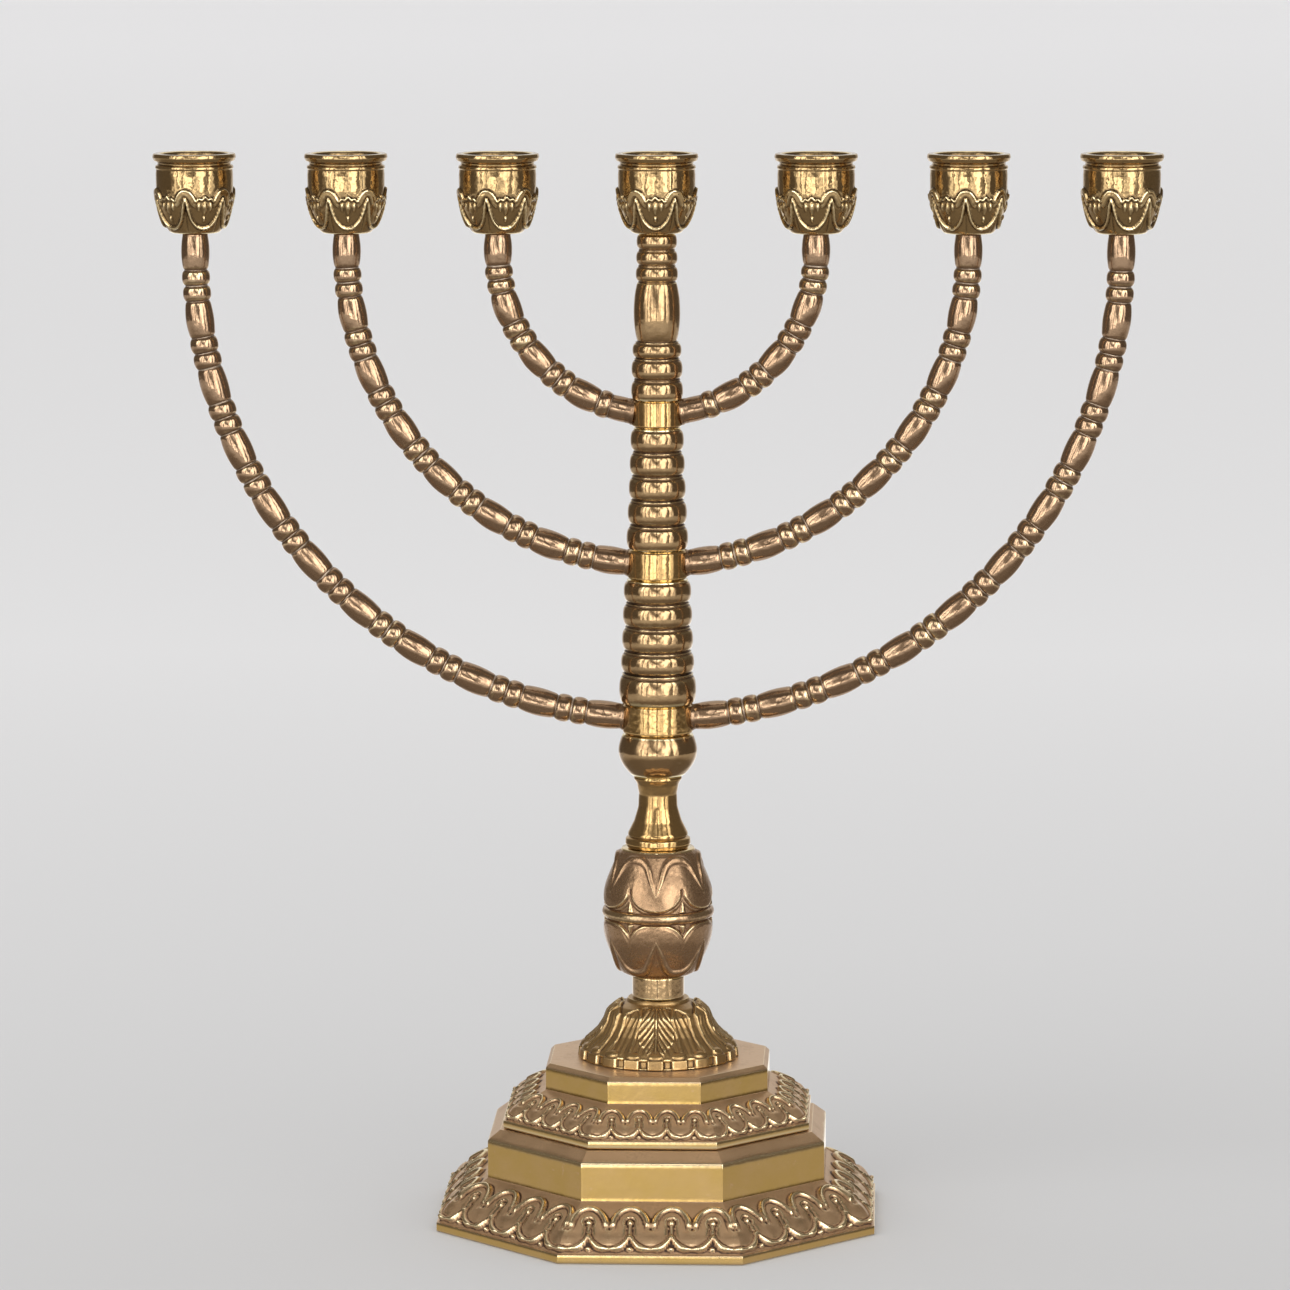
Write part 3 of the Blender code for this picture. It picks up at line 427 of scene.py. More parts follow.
def scroll(pitch, tall, height):
    """Relief of the running scroll, for a pitch, a height of its arches up the band and a depth
    in metres. It is drawn once in millimetres at its full size, over half a pitch: an arch
    over a keyhole, the keyhole's stem on two spreading feet, and the shell beside it."""
    half = SCROLL_PITCH / 2
    cusp = 8.9
    x, y = np.meshgrid(np.linspace(0, half, 100), np.linspace(0, SCROLL_TALL * 1.2, 280))
    angle = np.linspace(0, math.pi / 2, 60)
    rim = np.stack([half * np.sin(angle), cusp + (SCROLL_TALL - cusp) * np.cos(angle)], axis=1)
    lip = curve([(half, 2.2), (4.3, 2.4), (2.6, 3.2), (1.3, 4.9), (0.85, 7.0), (0.95, 9.4),
                 (1.45, 10.6), (1.75, 11.8), (1.4, 13.1), (0.7, 13.8), (0, 14.0)])
    leg = curve([(half, 1.75), (4.4, 1.95), (2.5, 2.8), (1.15, 4.3), (0.35, 6.2)])
    inner = np.interp(y, lip[:, 1], lip[:, 0], left=half + 1, right=-1)
    arch = cusp + (SCROLL_TALL - cusp) * np.sqrt(np.clip(1 - (x / half) ** 2, 0, 1))
    shell = (x > inner) & (y < arch)
    rim_both = np.concatenate([rim, (2 * half, 0) + rim * (-1, 1)])
    from_rim, from_lip = nearest(x, y, rim_both), nearest(x, y, lip)
    relief = 0.40 * smooth(np.minimum(from_rim, from_lip), 0, 0.9)
    relief += 0.30 * np.exp(-((x - half) / 3.2) ** 2 - ((y - 6.2) / 3.0) ** 2)
    relief -= 0.16 * np.exp(-((from_rim - 1.9) / 0.5) ** 2) * smooth(y, 7.0, 9.5)
    rim_rise = smooth(y, 8.2, 11.4)
    relief = np.maximum(relief, (0.35 + 0.6 * tube(from_rim - 0.9, 1.1)) * rim_rise
                        * smooth(from_rim, 2.3, 1.6))
    relief = np.maximum(relief, 0.62 * tube(from_lip - 0.3, 0.45) * smooth(y, 8.5, 10.5))
    relief = np.where(shell, relief, 0.0)
    from_leg = nearest(x, y, leg)
    fat = 0.65 + 0.50 * smooth(x, 0.8, 2.6) * smooth(x, 6.6, 3.6)
    relief = np.maximum(relief, (1.0 - 0.35 * smooth(x, 4.2, 6.6)) * tube(from_leg, fat))
    stem = tube(x, 0.5) * smooth(y, 4.2, 5.6) * smooth(y, 11.6, 10.4)
    relief = np.maximum(relief, 0.75 * stem)
    relief = np.maximum(relief, 0.78 * tube(np.hypot(x / 1.0, (y - 11.9) / 1.2), 1.0))
    relief = np.maximum(relief, 0.90 * tube(np.hypot(x / 0.95, (y - 1.7) / 0.75), 1.0))
    drawn = spread(spread(relief, 5, 0, False), 5, 1, False) * height

    def sample(along, up):
        folded = np.abs((along / pitch + 0.5) % 1 - 0.5) * 2 * (x.shape[1] - 1)
        level = np.clip(up / (tall * 1.2), 0, 1) * (x.shape[0] - 1)
        i = np.minimum(level.astype(int), x.shape[0] - 2)
        j = np.minimum(folded.astype(int), x.shape[1] - 2)
        u, v = level - i, folded - j
        return ((1 - u) * (1 - v) * drawn[i, j] + u * (1 - v) * drawn[i + 1, j]
                + (1 - u) * v * drawn[i, j + 1] + u * v * drawn[i + 1, j + 1])

    return sample


SIDES = 8
CORNER_ROUND = 0.35 * MM
CORNER_BENDS = np.radians([11.25, 22.5, 33.75])
EIGHTH = math.tan(math.pi / SIDES)


def octagonal(name, points, lift, per_side, material, wear_full, polish):
    """An eight-sided piece from an outline of (apothem, height). lift gives the relief of each
    row at places along a side, and its points keep to the mitre at each corner."""
    normals = normals_of(points)
    q = np.linspace(-1, 1, per_side)
    columns = []
    for side in range(SIDES):
        facing_out = side * 2 * math.pi / SIDES - math.pi / 2
        out_x, out_y = math.cos(facing_out), math.sin(facing_out)
        inner = np.maximum(points[:, 0] - CORNER_ROUND, 0.5 * MM)[:, None]
        relief = lift(q[None, :] * inner * EIGHTH)
        apothem = inner + relief * normals[:, :1]
        level = points[:, 1:] + relief * normals[:, 1:]
        s = q[None, :] * apothem * EIGHTH
        out = apothem + CORNER_ROUND
        bends = CORNER_BENDS[None, :]
        corner = apothem[:, -1:]
        s = np.concatenate([s, corner * EIGHTH + CORNER_ROUND * np.sin(bends)], axis=1)
        out = np.concatenate([out, corner + CORNER_ROUND * np.cos(bends)], axis=1)
        at_corner = np.repeat(level[:, -1:], len(CORNER_BENDS), axis=1)
        level = np.concatenate([level, at_corner], axis=1)
        columns.append(np.stack([out * out_x - s * out_y, out * out_y + s * out_x, level],
                                axis=2))
    grid = np.concatenate(columns, axis=1)
    wear = wear_of(grid, 3, 2, True, wear_full)
    return surface(name, grid, material, wear, polish[:, None])


def slope_band(points, on_slope, top, foot, belly):
    """Swells the straight from top to foot outwards, and gives each point's way up it."""
    top, foot = np.array(top), np.array(foot)
    length = np.hypot(*(foot - top))
    fall = np.where(on_slope, np.hypot(*(points - top).T) / length, 0.0)
    out = np.array((top[1] - foot[1], foot[0] - top[0])) / length
    swell = np.where(on_slope, belly * np.sin(math.pi * fall ** 1.3), 0.0)
    return points + swell[:, None] * out, (1 - fall) * length


# Cast brass, patinated brown and wiped: it gives the eye brown-pink hollows, soft bronze
# faces and gold edges where it is rubbed. The filed flats are even gold.
cast_brass = brass("cast_brass_patinated", "#3E2A1C", "#94704F", "#D0AD86", "#F8E4BA", "#C3A260",
                   rough=(0.55, 0.36, 0.24, 0.14), grain_mm=0.8, ripple=0.35, film=0.75)

foot_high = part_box("base_lower_casting")[1]
upper_low, upper_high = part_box("base_upper_casting")
FOOT_APOTHEM = foot_high.y
FOOT_RIM = 3.0 * MM
RIM_LEDGE = 0.8 * MM
LOWER_BAND_APOTHEM = 56.3 * MM
LOWER_BAND_FOOT = 16.8 * MM
LOWER_BAND_TOP = 29.6 * MM
LOWER_PLATE = 52.1 * MM
WALL = 3.0 * MM
BORE = 3.4 * MM
# Which straights of a casting's outline are its scroll band and its filed upright faces.
SLOPE = 3
UPRIGHTS = (2, 5)
points, straights = outline([
    (BORE, foot_high.z, 0, 9 * MM),
    (LOWER_PLATE, foot_high.z, 0.3 * MM, 1.2 * MM),
    (LOWER_BAND_APOTHEM, LOWER_BAND_TOP, 1.2 * MM, 1.2 * MM),
    (LOWER_BAND_APOTHEM, LOWER_BAND_FOOT, 0.5 * MM, 0.34 * MM),
    (FOOT_APOTHEM - RIM_LEDGE, FOOT_RIM, 0.25 * MM, 0.4 * MM),
    (FOOT_APOTHEM, FOOT_RIM, 0.7 * MM, 1.0 * MM),
    (FOOT_APOTHEM, 0, 0.3 * MM, 1.5 * MM),
    (FOOT_APOTHEM - WALL, 0, 0.3 * MM, 8 * MM),
    (LOWER_BAND_APOTHEM - WALL, LOWER_BAND_FOOT - WALL / 2, 1.0 * MM, 8 * MM),
    (LOWER_BAND_APOTHEM - WALL, LOWER_BAND_TOP - WALL / 2, 1.0 * MM, 8 * MM),
    (LOWER_PLATE - WALL, foot_high.z - WALL, 1.0 * MM, 16 * MM),
    (BORE, foot_high.z - WALL, 0, 1 * MM),
])
lower_slope = straights == SLOPE
points, lower_up = slope_band(points, lower_slope, (LOWER_BAND_APOTHEM, LOWER_BAND_FOOT),
                              (FOOT_APOTHEM - RIM_LEDGE, FOOT_RIM), 1.3 * MM)
LOWER_PITCH = 13.5 * MM
lower_scroll = scroll(LOWER_PITCH, 18.4 * MM, 1.75 * MM)


def band_lift(relief_of, pitch, on_slope, way_up):
    """The relief of a casting that has it on its scroll band alone."""
    def lift(along):
        relief = relief_of(along + pitch / 2, np.repeat(way_up[:, None], along.shape[1], 1))
        return np.where(on_slope[:, None], relief, 0.0)

    return lift


def filed(straights):
    """Marks the rows of a casting's upright faces, with a row beyond each end of them."""
    return np.convolve(np.isin(straights, UPRIGHTS), np.ones(3), "same").clip(0, 1)


lower_lift = band_lift(lower_scroll, LOWER_PITCH, lower_slope, lower_up)
base_lower = octagonal("base_lower", points, lower_lift, 94, cast_brass, 0.16 * MM,
                       filed(straights))
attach(base_lower, "stem")
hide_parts("base_lower_casting")


# ------------------------------------------------------------------ upper base casting
# The second brass casting stands on the first one's plate, and the tie rod clamps it there.
# It has a thin polished rim, a smaller scroll band, a polished upright with a chamfer and a
# flat patinated top plate.

RIM_APOTHEM = upper_high.y
RIM_TOP = upper_low.z + 2.7 * MM
UPPER_BAND_APOTHEM = 37.2 * MM
UPPER_BAND_FOOT = RIM_TOP + 9.4 * MM
UPPER_BAND_TOP = UPPER_BAND_FOOT + 7.5 * MM
TOP_CHAMFER = 1.4 * MM
points, straights = outline([
    (BORE, upper_high.z, 0, 5 * MM),
    (UPPER_BAND_APOTHEM - TOP_CHAMFER, upper_high.z, 0.3 * MM, 0.6 * MM),
    (UPPER_BAND_APOTHEM, UPPER_BAND_TOP, 0.8 * MM, 1.2 * MM),
    (UPPER_BAND_APOTHEM, UPPER_BAND_FOOT, 0.4 * MM, 0.29 * MM),
    (RIM_APOTHEM - RIM_LEDGE, RIM_TOP, 0.2 * MM, 0.4 * MM),
    (RIM_APOTHEM, RIM_TOP, 0.8 * MM, 1.0 * MM),
    (RIM_APOTHEM, upper_low.z, 0.6 * MM, 1.0 * MM),
    (RIM_APOTHEM - WALL, upper_low.z, 0.3 * MM, 6 * MM),
    (UPPER_BAND_APOTHEM - WALL, UPPER_BAND_FOOT - WALL / 2, 1.0 * MM, 6 * MM),
    (UPPER_BAND_APOTHEM - WALL, upper_high.z - WALL, 1.0 * MM, 9 * MM),
    (BORE, upper_high.z - WALL, 0, 1 * MM),
])
upper_slope = straights == SLOPE
points, upper_up = slope_band(points, upper_slope, (UPPER_BAND_APOTHEM, UPPER_BAND_FOOT),
                              (RIM_APOTHEM - RIM_LEDGE, RIM_TOP), 1.1 * MM)
UPPER_PITCH = 9.1 * MM
upper_scroll = scroll(UPPER_PITCH, 12.9 * MM, 1.4 * MM)
upper_lift = band_lift(upper_scroll, UPPER_PITCH, upper_slope, upper_up)
base_upper = octagonal("base_upper", points, upper_lift, 100, cast_brass, 0.14 * MM,
                       filed(straights))
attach(base_upper, "stem")
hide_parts("base_upper_casting")


# ------------------------------------------------------------------ acanthus dome
# A dome cast in brass, of four broad acanthus leaves, each under an arched rib. It flares to a
# ring of 20 small feet that stand on the top plate, has a bright flange at its crown, and is
# clamped by the tie rod.

DULL_WEAR = 0.3


def turned(name, points, columns, material, lift=None, wear_full=0.12 * MM, passes=(4, 0),
           polish=0.0, turn=0.0, centre=(0.0, 0.0), dull=None):
    """A piece turned about an upright axis from its closed outline. lift gives the relief of
    each point of the outline at the angles round it, and dull marks points that never wear."""
    angles = np.linspace(0, 2 * math.pi, columns, endpoint=False)
    normals = normals_of(points)
    relief = lift(angles) if lift else np.zeros((len(points), columns))
    radius = points[:, :1] + relief * normals[:, :1]
    level = points[:, 1:] + relief * normals[:, 1:]
    grid = np.stack([centre[0] + radius * np.cos(angles + turn),
                     centre[1] + radius * np.sin(angles + turn),
                     np.broadcast_to(level, radius.shape)], axis=2)
    wear = wear_of(grid, passes[0], passes[1], True, wear_full)
    if dull is not None:
        wear = np.where(dull[:, None], DULL_WEAR, wear)
    return surface(name, grid, material, wear, polish)


# The dome's cast brass was never patinated as dark as the base: greenish gold with clean
# edges and brown only in the deepest cuts.
dome_brass = brass("cast_brass_dome", "#33261A", "#664C30", "#B39262", "#F0D6A2", "#BE9A55",
                   rough=(0.55, 0.34, 0.22, 0.24), grain_mm=0.7, ripple=0.3, film=0.55)

dome_low, dome_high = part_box("acanthus_dome")
RING_R = dome_high.x
points, straights = outline([
    (BORE, dome_high.z, 0, 2 * MM),
    (10.2 * MM, dome_high.z, 0.3 * MM, 0.4 * MM),
    (10.6 * MM, dome_high.z - 0.9 * MM, 0.3 * MM, 0.3 * MM),
    (10.5 * MM, dome_high.z - 1.2 * MM, 0.2 * MM, 0.3 * MM),
    (14.0 * MM, dome_high.z - 2.4 * MM, 2.0 * MM, 0.28 * MM),
    (16.6 * MM, dome_high.z - 4.6 * MM, 2.0 * MM, 0.28 * MM),
    (17.7 * MM, dome_high.z - 7.6 * MM, 2.0 * MM, 0.28 * MM),
    (19.9 * MM, dome_high.z - 11.0 * MM, 3.0 * MM, 0.28 * MM),
    (22.4 * MM, dome_high.z - 13.4 * MM, 2.0 * MM, 0.28 * MM),
    (25.0 * MM, dome_high.z - 15.4 * MM, 1.0 * MM, 0.28 * MM),
    (RING_R - 0.8 * MM, dome_low.z + 2.8 * MM, 0.4 * MM, 0.28 * MM),
    (RING_R - 0.5 * MM, dome_low.z, 0.2 * MM, 1.0 * MM),
    (RING_R - 3.0 * MM, dome_low.z, 0.2 * MM, 3.0 * MM),
    (19.0 * MM, dome_low.z + 3.5 * MM, 2.0 * MM, 3.0 * MM),
    (15.0 * MM, dome_high.z - 8.0 * MM, 2.0 * MM, 3.0 * MM),
    (BORE, dome_high.z - 7.0 * MM, 0, 2.0 * MM),
])
DOME_LEAVES = 4
FEET = 20


def dome_lift(angles):
    """Relief of the dome in millimetres, down from its crown and aside from a leaf's middle:
    the arched ribs, the leaf with its veins, the stalk beside it, the hem and the feet."""
    sector = 2 * math.pi / DOME_LEAVES
    turn = (angles + math.pi / 2 + sector / 2) % sector - sector / 2
    around = points[:, :1] / MM
    side = np.abs(turn)[None, :] * around
    down = (dome_high.z - points[:, 1:]) / MM
    outside = (np.arange(len(points)) < np.argmax(points[:, 0]) + 2)[:, None]
    rib = np.interp(down, (1.5, 1.9, 2.6, 4.0, 15.5), (0.0, 0.30, 0.53, 0.68, 0.70)) * around
    on_dome = smooth(down, 1.4, 1.9) * smooth(down, 16.2, 15.2)
    relief = 0.95 * tube(side - rib, 0.7) * on_dome
    inside = smooth(rib - side, 0.3, 1.0) * smooth(down, 1.8, 2.4) * smooth(down, 15.8, 14.6)
    leaf = 4.4 + 1.8 * smooth(down, 4.0, 9.0) - 3.0 * smooth(down, 11.5, 15.0)
    veins = np.abs((down - 2.3 * side ** 0.7) / 2.2 % 1 - 0.5) * 2
    blade = 0.25 + 0.65 * (1 - (1 - veins) ** 2.5) * smooth(side, 0.2, 0.9)
    blade = np.maximum(blade, tube(side, 0.45))
    strokes = np.abs((side - 0.55 * (down - 3.5) + 0.5) / 2.1 % 1 - 0.5) * 2
    flank = 0.05 + 0.45 * strokes ** 0.8
    stalk = 5.4 + 0.34 * np.maximum(down - 5.0, 0)
    flank = np.maximum(flank, 0.95 * tube(side - stalk, 0.8))
    in_leaf = smooth(leaf - side, 0.0, 0.5)
    relief = np.maximum(relief, inside * (in_leaf * blade + (1 - in_leaf) * flank))
    foot_turn = 2 * math.pi / FEET
    across = np.abs((turn + foot_turn / 2) % foot_turn - foot_turn / 2)[None, :]
    hem = tube(np.hypot(across * around / 2.6, (down - 15.6) / 1.1), 1.0)
    relief = np.maximum(relief, 0.8 * hem)
    foot = smooth(down, 16.3, 17.0)
    tab = smooth(across / (foot_turn / 2), 0.74, 0.58)
    relief = relief * (1 - foot) + foot * (1.3 * tab - 0.9)
    return np.where(outside, relief * MM, 0.0)


dome = turned("acanthus_leaf_dome", points, 540, dome_brass, dome_lift, 0.16 * MM, (4, 2))
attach(dome, "stem")
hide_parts("acanthus_dome")


# ------------------------------------------------------------------ neck sleeve
# A short plain brass tube between dome and egg, cast and filed smooth, with its seam still
# showing at the front. The tie rod holds it.

# Turned brass, polished and then browned by handling: satin gold with brown flanks.
turned_brass = brass("turned_brass_browned", "#2E2116", "#5C4430", "#AD906A", "#F4E3B6", "#BE9A62",
                     rough=(0.45, 0.11, 0.10, 0.2), grain_mm=1.6, ripple=0.22, film=0.15)

sleeve_low, sleeve_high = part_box("neck_sleeve")
SLEEVE_R = sleeve_high.x
points, straights = outline([
    (BORE, sleeve_high.z, 0, 2 * MM),
    (SLEEVE_R, sleeve_high.z, 0.3 * MM, 0.4 * MM),
    (SLEEVE_R, sleeve_low.z, 0.3 * MM, 2 * MM),
    (BORE, sleeve_low.z, 0, 2 * MM),
])


def seam_line(angles, bearing, radius, width):
    """1 along an upright casting seam at a bearing, and 0 well aside of it."""
    from_seam = (angles - bearing + math.pi) % (2 * math.pi) - math.pi
    return np.exp(-(from_seam * radius / width) ** 2)


FRONT = -math.pi / 2


def sleeve_lift(angles):
    seam = seam_line(angles, FRONT, SLEEVE_R, 0.16 * MM)
    return np.where((straights == 1)[:, None], -0.14 * MM * seam[None, :], 0.0)


sleeve = turned("neck_tube", points, 300, turned_brass, sleeve_lift, 0.10 * MM, (4, 3))
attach(sleeve, "stem")
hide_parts("neck_sleeve")


# ------------------------------------------------------------------ egg knop
# A cast brass egg, threaded on the tie rod, with six smooth domed lobes above a plain mid band
# and six below it. Round arches spring between the lobes and run together into a tapering
# stem on each.

# The egg is the most handled cast piece: satin rose-brown brass, rubbed gold on every ridge.
egg_brass = brass("cast_brass_egg", "#3A281C", "#6A4C36", "#A88868", "#F2DAAC", "#BE9A62",
                  rough=(0.50, 0.27, 0.18, 0.25), grain_mm=0.9, ripple=0.5, film=0.5)

egg_low, egg_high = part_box("egg_knop")
LOBES = 6
# Millimetres round the egg from lobe to lobe, as its relief is drawn.
LOBE_PITCH = 18.0
EGG_TOP_R = 12.1 * MM
EGG_BOTTOM_R = 10.1 * MM
EGG_R = 17.3 * MM
EGG_BAND_R = 18.8 * MM
EGG_BAND = 1.8 * MM
egg_middle = (egg_low.z + egg_high.z) / 2
t = np.linspace(0, 1, 90)
egg_upper = np.stack([EGG_TOP_R + (EGG_R - EGG_TOP_R) * np.sin(t * math.pi / 2) ** 0.95,
                      egg_high.z + (egg_middle + EGG_BAND - egg_high.z) * t], axis=1)
egg_lower = np.stack([EGG_BOTTOM_R + (EGG_R - EGG_BOTTOM_R) * np.sin(t * math.pi / 2) ** 0.6,
                      egg_low.z + (egg_middle - EGG_BAND - egg_low.z) * t], axis=1)[::-1]
turn = np.linspace(0, math.pi, 17)[1:-1]
egg_ring = np.stack([EGG_R - 0.2 * MM + (EGG_BAND_R - EGG_R + 0.2 * MM) * np.sin(turn) ** 0.8,
                     egg_middle + EGG_BAND * np.cos(turn)], axis=1)
points = np.concatenate([[(BORE, egg_high.z)], egg_upper, egg_ring, egg_lower,
                         [(BORE, egg_low.z)]])


def egg_lift(angles):
    """Relief of the egg, drawn in millimetres up from the mid band and round from the small
    triangle between two lobes."""
    level = points[:, 1:]
    up = (np.abs(level - egg_middle) - EGG_BAND) / MM
    share = (angles + math.pi / 2 + math.pi / LOBES) / (2 * math.pi) * LOBES
    across = np.abs((share + 0.5) % 1 - 0.5)[None, :] * LOBE_PITCH
    up, across = np.broadcast_arrays(up, across)
    lobe_edge = curve([(0, 7.6), (0.35, 5.6), (1.5, 3.6), (3.4, 1.9), (6.0, 0.8), (9.0, 0.35)])
    arch = curve([(0, 17.3), (2.6, 17.0), (4.9, 15.6), (6.2, 13.2), (6.9, 10.9), (7.8, 8.5),
                  (9.0, 5.8)])
    under_arch = up < np.interp(across, arch[:, 0], arch[:, 1])
    over = up - np.interp(across, lobe_edge[:, 0], lobe_edge[:, 1])
    from_edge, from_arch = nearest(across, up, lobe_edge), nearest(across, up, arch)
    lobe = 0.55 * smooth(from_edge, 0.0, 0.7) + 0.75 * smooth(up, 15.5, 5.0)
    shoulder = np.maximum(0.5 + 0.5 * smooth(up, 14.0, 6.5), 1.25 * smooth(from_arch, 2.6, 0.4))
    relief = np.where(under_arch, lobe * smooth(over, 0.0, 0.3), shoulder)
    beaded = np.where(level < egg_middle, 1.15, 0.45)
    relief = np.maximum(relief, beaded * tube(from_edge - 0.3, 0.7))
    thick = 0.35 + 1.15 * smooth(up, 5.5, 15.5)
    relief = np.maximum(relief, (1.25 + 0.25 * smooth(up, 13.0, 6.5)) * tube(from_arch, thick))
    relief = np.maximum(relief, 0.9 * tube(across / 1.3 + up * 0.22, 1.0) * (up > 0.3)
                        * (up < 4.2))
    relief = np.where(up > 0, relief * smooth(up, 0.0, 0.5), 0.0)
    relief = relief * smooth(up, 19.6, 18.0) * MM
    seam = seam_line(angles, FRONT, EGG_TOP_R, 0.2 * MM)[None, :]
    relief = relief - 0.14 * MM * seam * smooth(level, egg_high.z - 3 * MM, egg_high.z - 1 * MM)
    return np.where(points[:, :1] > 2 * BORE, relief, 0.0)


egg = turned("egg", points, 380, egg_brass, egg_lift, 0.24 * MM, (4, 3))
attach(egg, "stem")
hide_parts("egg_knop")


# ------------------------------------------------------------------ vase neck and ball
# Both are turned from brass bar and threaded on the tie rod: a slim vase with a lip and a
# stepped foot, and a ball over it.

# Polished brass that has gone a little dull: clean rippled reflections in gold under a thin
# brown film, darker where the wheel doesn't reach.
polished_brass = brass("polished_brass_aged", "#2E2114", "#5A4228", "#BC9A66", "#F3E0AC", "#C9A35A",
                       rough=(0.40, 0.10, 0.09, 0.15), grain_mm=1.8, ripple=0.22, film=0.2)

vase_low, vase_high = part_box("vase_neck")
lip = vase_high.z
points, straights = outline([
    (BORE, lip, 0, 2 * MM),
    (7.9 * MM, lip, 0.3 * MM, 0.2 * MM),
    (8.1 * MM, lip - 0.9 * MM, 0.6 * MM, 0.2 * MM),
    (7.4 * MM, lip - 2.0 * MM, 0.8 * MM, 0.2 * MM),
    (7.0 * MM, lip - 2.8 * MM, 1.0 * MM, 0.3 * MM),
    (6.4 * MM, lip - 6.0 * MM, 3.0 * MM, 0.3 * MM),
    (6.6 * MM, lip - 10.5 * MM, 4.0 * MM, 0.3 * MM),
    (8.0 * MM, lip - 15.2 * MM, 4.0 * MM, 0.3 * MM),
    (10.0 * MM, vase_low.z + 4.9 * MM, 1.0 * MM, 0.3 * MM),
    (10.1 * MM, vase_low.z + 4.1 * MM, 0.2 * MM, 0.2 * MM),
    (9.7 * MM, vase_low.z + 3.8 * MM, 0.2 * MM, 0.2 * MM),
    (10.9 * MM, vase_low.z + 3.0 * MM, 0.6 * MM, 0.2 * MM),
    (11.0 * MM, vase_low.z + 1.2 * MM, 0.8 * MM, 0.2 * MM),
    (10.3 * MM, vase_low.z, 0.3 * MM, 2 * MM),
    (BORE, vase_low.z, 0, 2 * MM),
])
vase = turned("vase", points, 130, polished_brass, None, 0.16 * MM, (4, 0))
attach(vase, "stem")
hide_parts("vase_neck")

ball_low, ball_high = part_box("stem_ball")
BALL_R = 13.2 * MM
BALL_TOP_R = 11.7 * MM
BALL_BOTTOM_R = 8.6 * MM
equator = ball_low.z + 0.6 * (ball_high.z - ball_low.z)
t = np.linspace(0, 1, 30)
ball_upper = np.stack([BALL_TOP_R + (BALL_R - BALL_TOP_R) * np.sin(t * math.pi / 2) ** 0.9,
                       ball_high.z + (equator - ball_high.z) * t], axis=1)
ball_lower = np.stack([BALL_BOTTOM_R + (BALL_R - BALL_BOTTOM_R) * np.sin(t * math.pi / 2) ** 0.8,
                       ball_low.z + (equator - ball_low.z) * t], axis=1)[::-1]
points = np.concatenate([[(BORE, ball_high.z)], ball_upper, ball_lower[1:],
                         [(BORE, ball_low.z)]])
ball = turned("ball", points, 140, turned_brass, None, 0.2 * MM, (5, 0))
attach(ball, "stem")
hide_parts("stem_ball")


# ------------------------------------------------------------------ hubs
# Three plain collars turned in brass, chamfered and polished. Each turns on the tie rod and
# carries its two arms.

for tier in ("lower", "middle", "upper"):
    low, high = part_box(f"{tier}_hub")
    hub_r = high.y
    chamfer = 0.7 * MM
    points, straights = outline([
        (BORE, high.z, 0, 2 * MM),
        (hub_r - chamfer, high.z, 0.1 * MM, 0.2 * MM),
        (hub_r, high.z - chamfer, 0.1 * MM, 0.5 * MM),
        (hub_r, low.z + chamfer, 0.1 * MM, 0.2 * MM),
        (hub_r - chamfer, low.z, 0.1 * MM, 2 * MM),
        (BORE, low.z, 0, 2 * MM),
    ])
    collar = turned(f"{tier}_collar", points, 140, polished_brass, None, 0.06 * MM, (4, 0))
    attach(collar, f"{tier}_tier")
    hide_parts(f"{tier}_hub")


# ------------------------------------------------------------------ spacers
# Turned brass columns of round ring beads with a fine fillet in each groove. The lowest bead
# of each is cut flat where it meets the hub, and the tie rod clamps them.

def ring_beads(beads, top, groove):
    """The outline of (height, radius) ring beads from the top down."""
    rows = []
    for tall, radius in beads:
        t = np.linspace(-1, 1, 25)
        swell = np.clip(1 - np.abs(t / 0.84) ** 2.2, 0, 1) ** (1 / 2.2)
        fillet = 0.22 * smooth(np.abs(t), 0.88, 0.95)
        rows.append(np.stack([radius - groove * (1 - np.maximum(swell, fillet)),
                              top - tall * (t + 1) / 2], axis=1))
        top -= tall
    return np.concatenate(rows)


def column(name, node, points):
    """A spacer from its outline. Its ends are cut off square at the piece's own height."""
    low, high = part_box(node)
    points = points[(points[:, 1] < high.z) & (points[:, 1] > low.z)]
    first, last = points[0, 0], points[-1, 0]
    points = np.concatenate([[(BORE, high.z), (first, high.z)], points,
                             [(last, low.z), (BORE, low.z)]])
    piece = turned(name, points, 140, turned_brass, None, 0.20 * MM, (3, 0))
    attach(piece, "stem")
    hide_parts(node)


low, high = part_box("lower_spacer")
column("lower_beads", "lower_spacer",
       ring_beads([(7.8 * MM, 11.3 * MM), (8.1 * MM, 11.6 * MM), (8.2 * MM, 11.9 * MM),
                   (7.5 * MM, 12.25 * MM), (10.6 * MM, 12.9 * MM)], high.z, 1.25 * MM))
low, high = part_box("middle_spacer")
column("middle_beads", "middle_spacer",
       ring_beads([(8.0 * MM, 8.9 * MM), (8.0 * MM, 9.2 * MM), (8.1 * MM, 9.5 * MM),
                   (8.4 * MM, 9.9 * MM), (8.6 * MM, 10.3 * MM)], high.z, 1.2 * MM))
low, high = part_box("upper_spacer")
BARREL_TALL = 19.7 * MM
barrel_top = high.z - 16.1 * MM
t = np.linspace(0, 1, 40)
barrel = np.stack([(5.9 + 1.85 * np.sin(math.pi * (0.04 + 0.92 * t)) ** 0.55) * MM,
                   barrel_top - BARREL_TALL * t], axis=1)
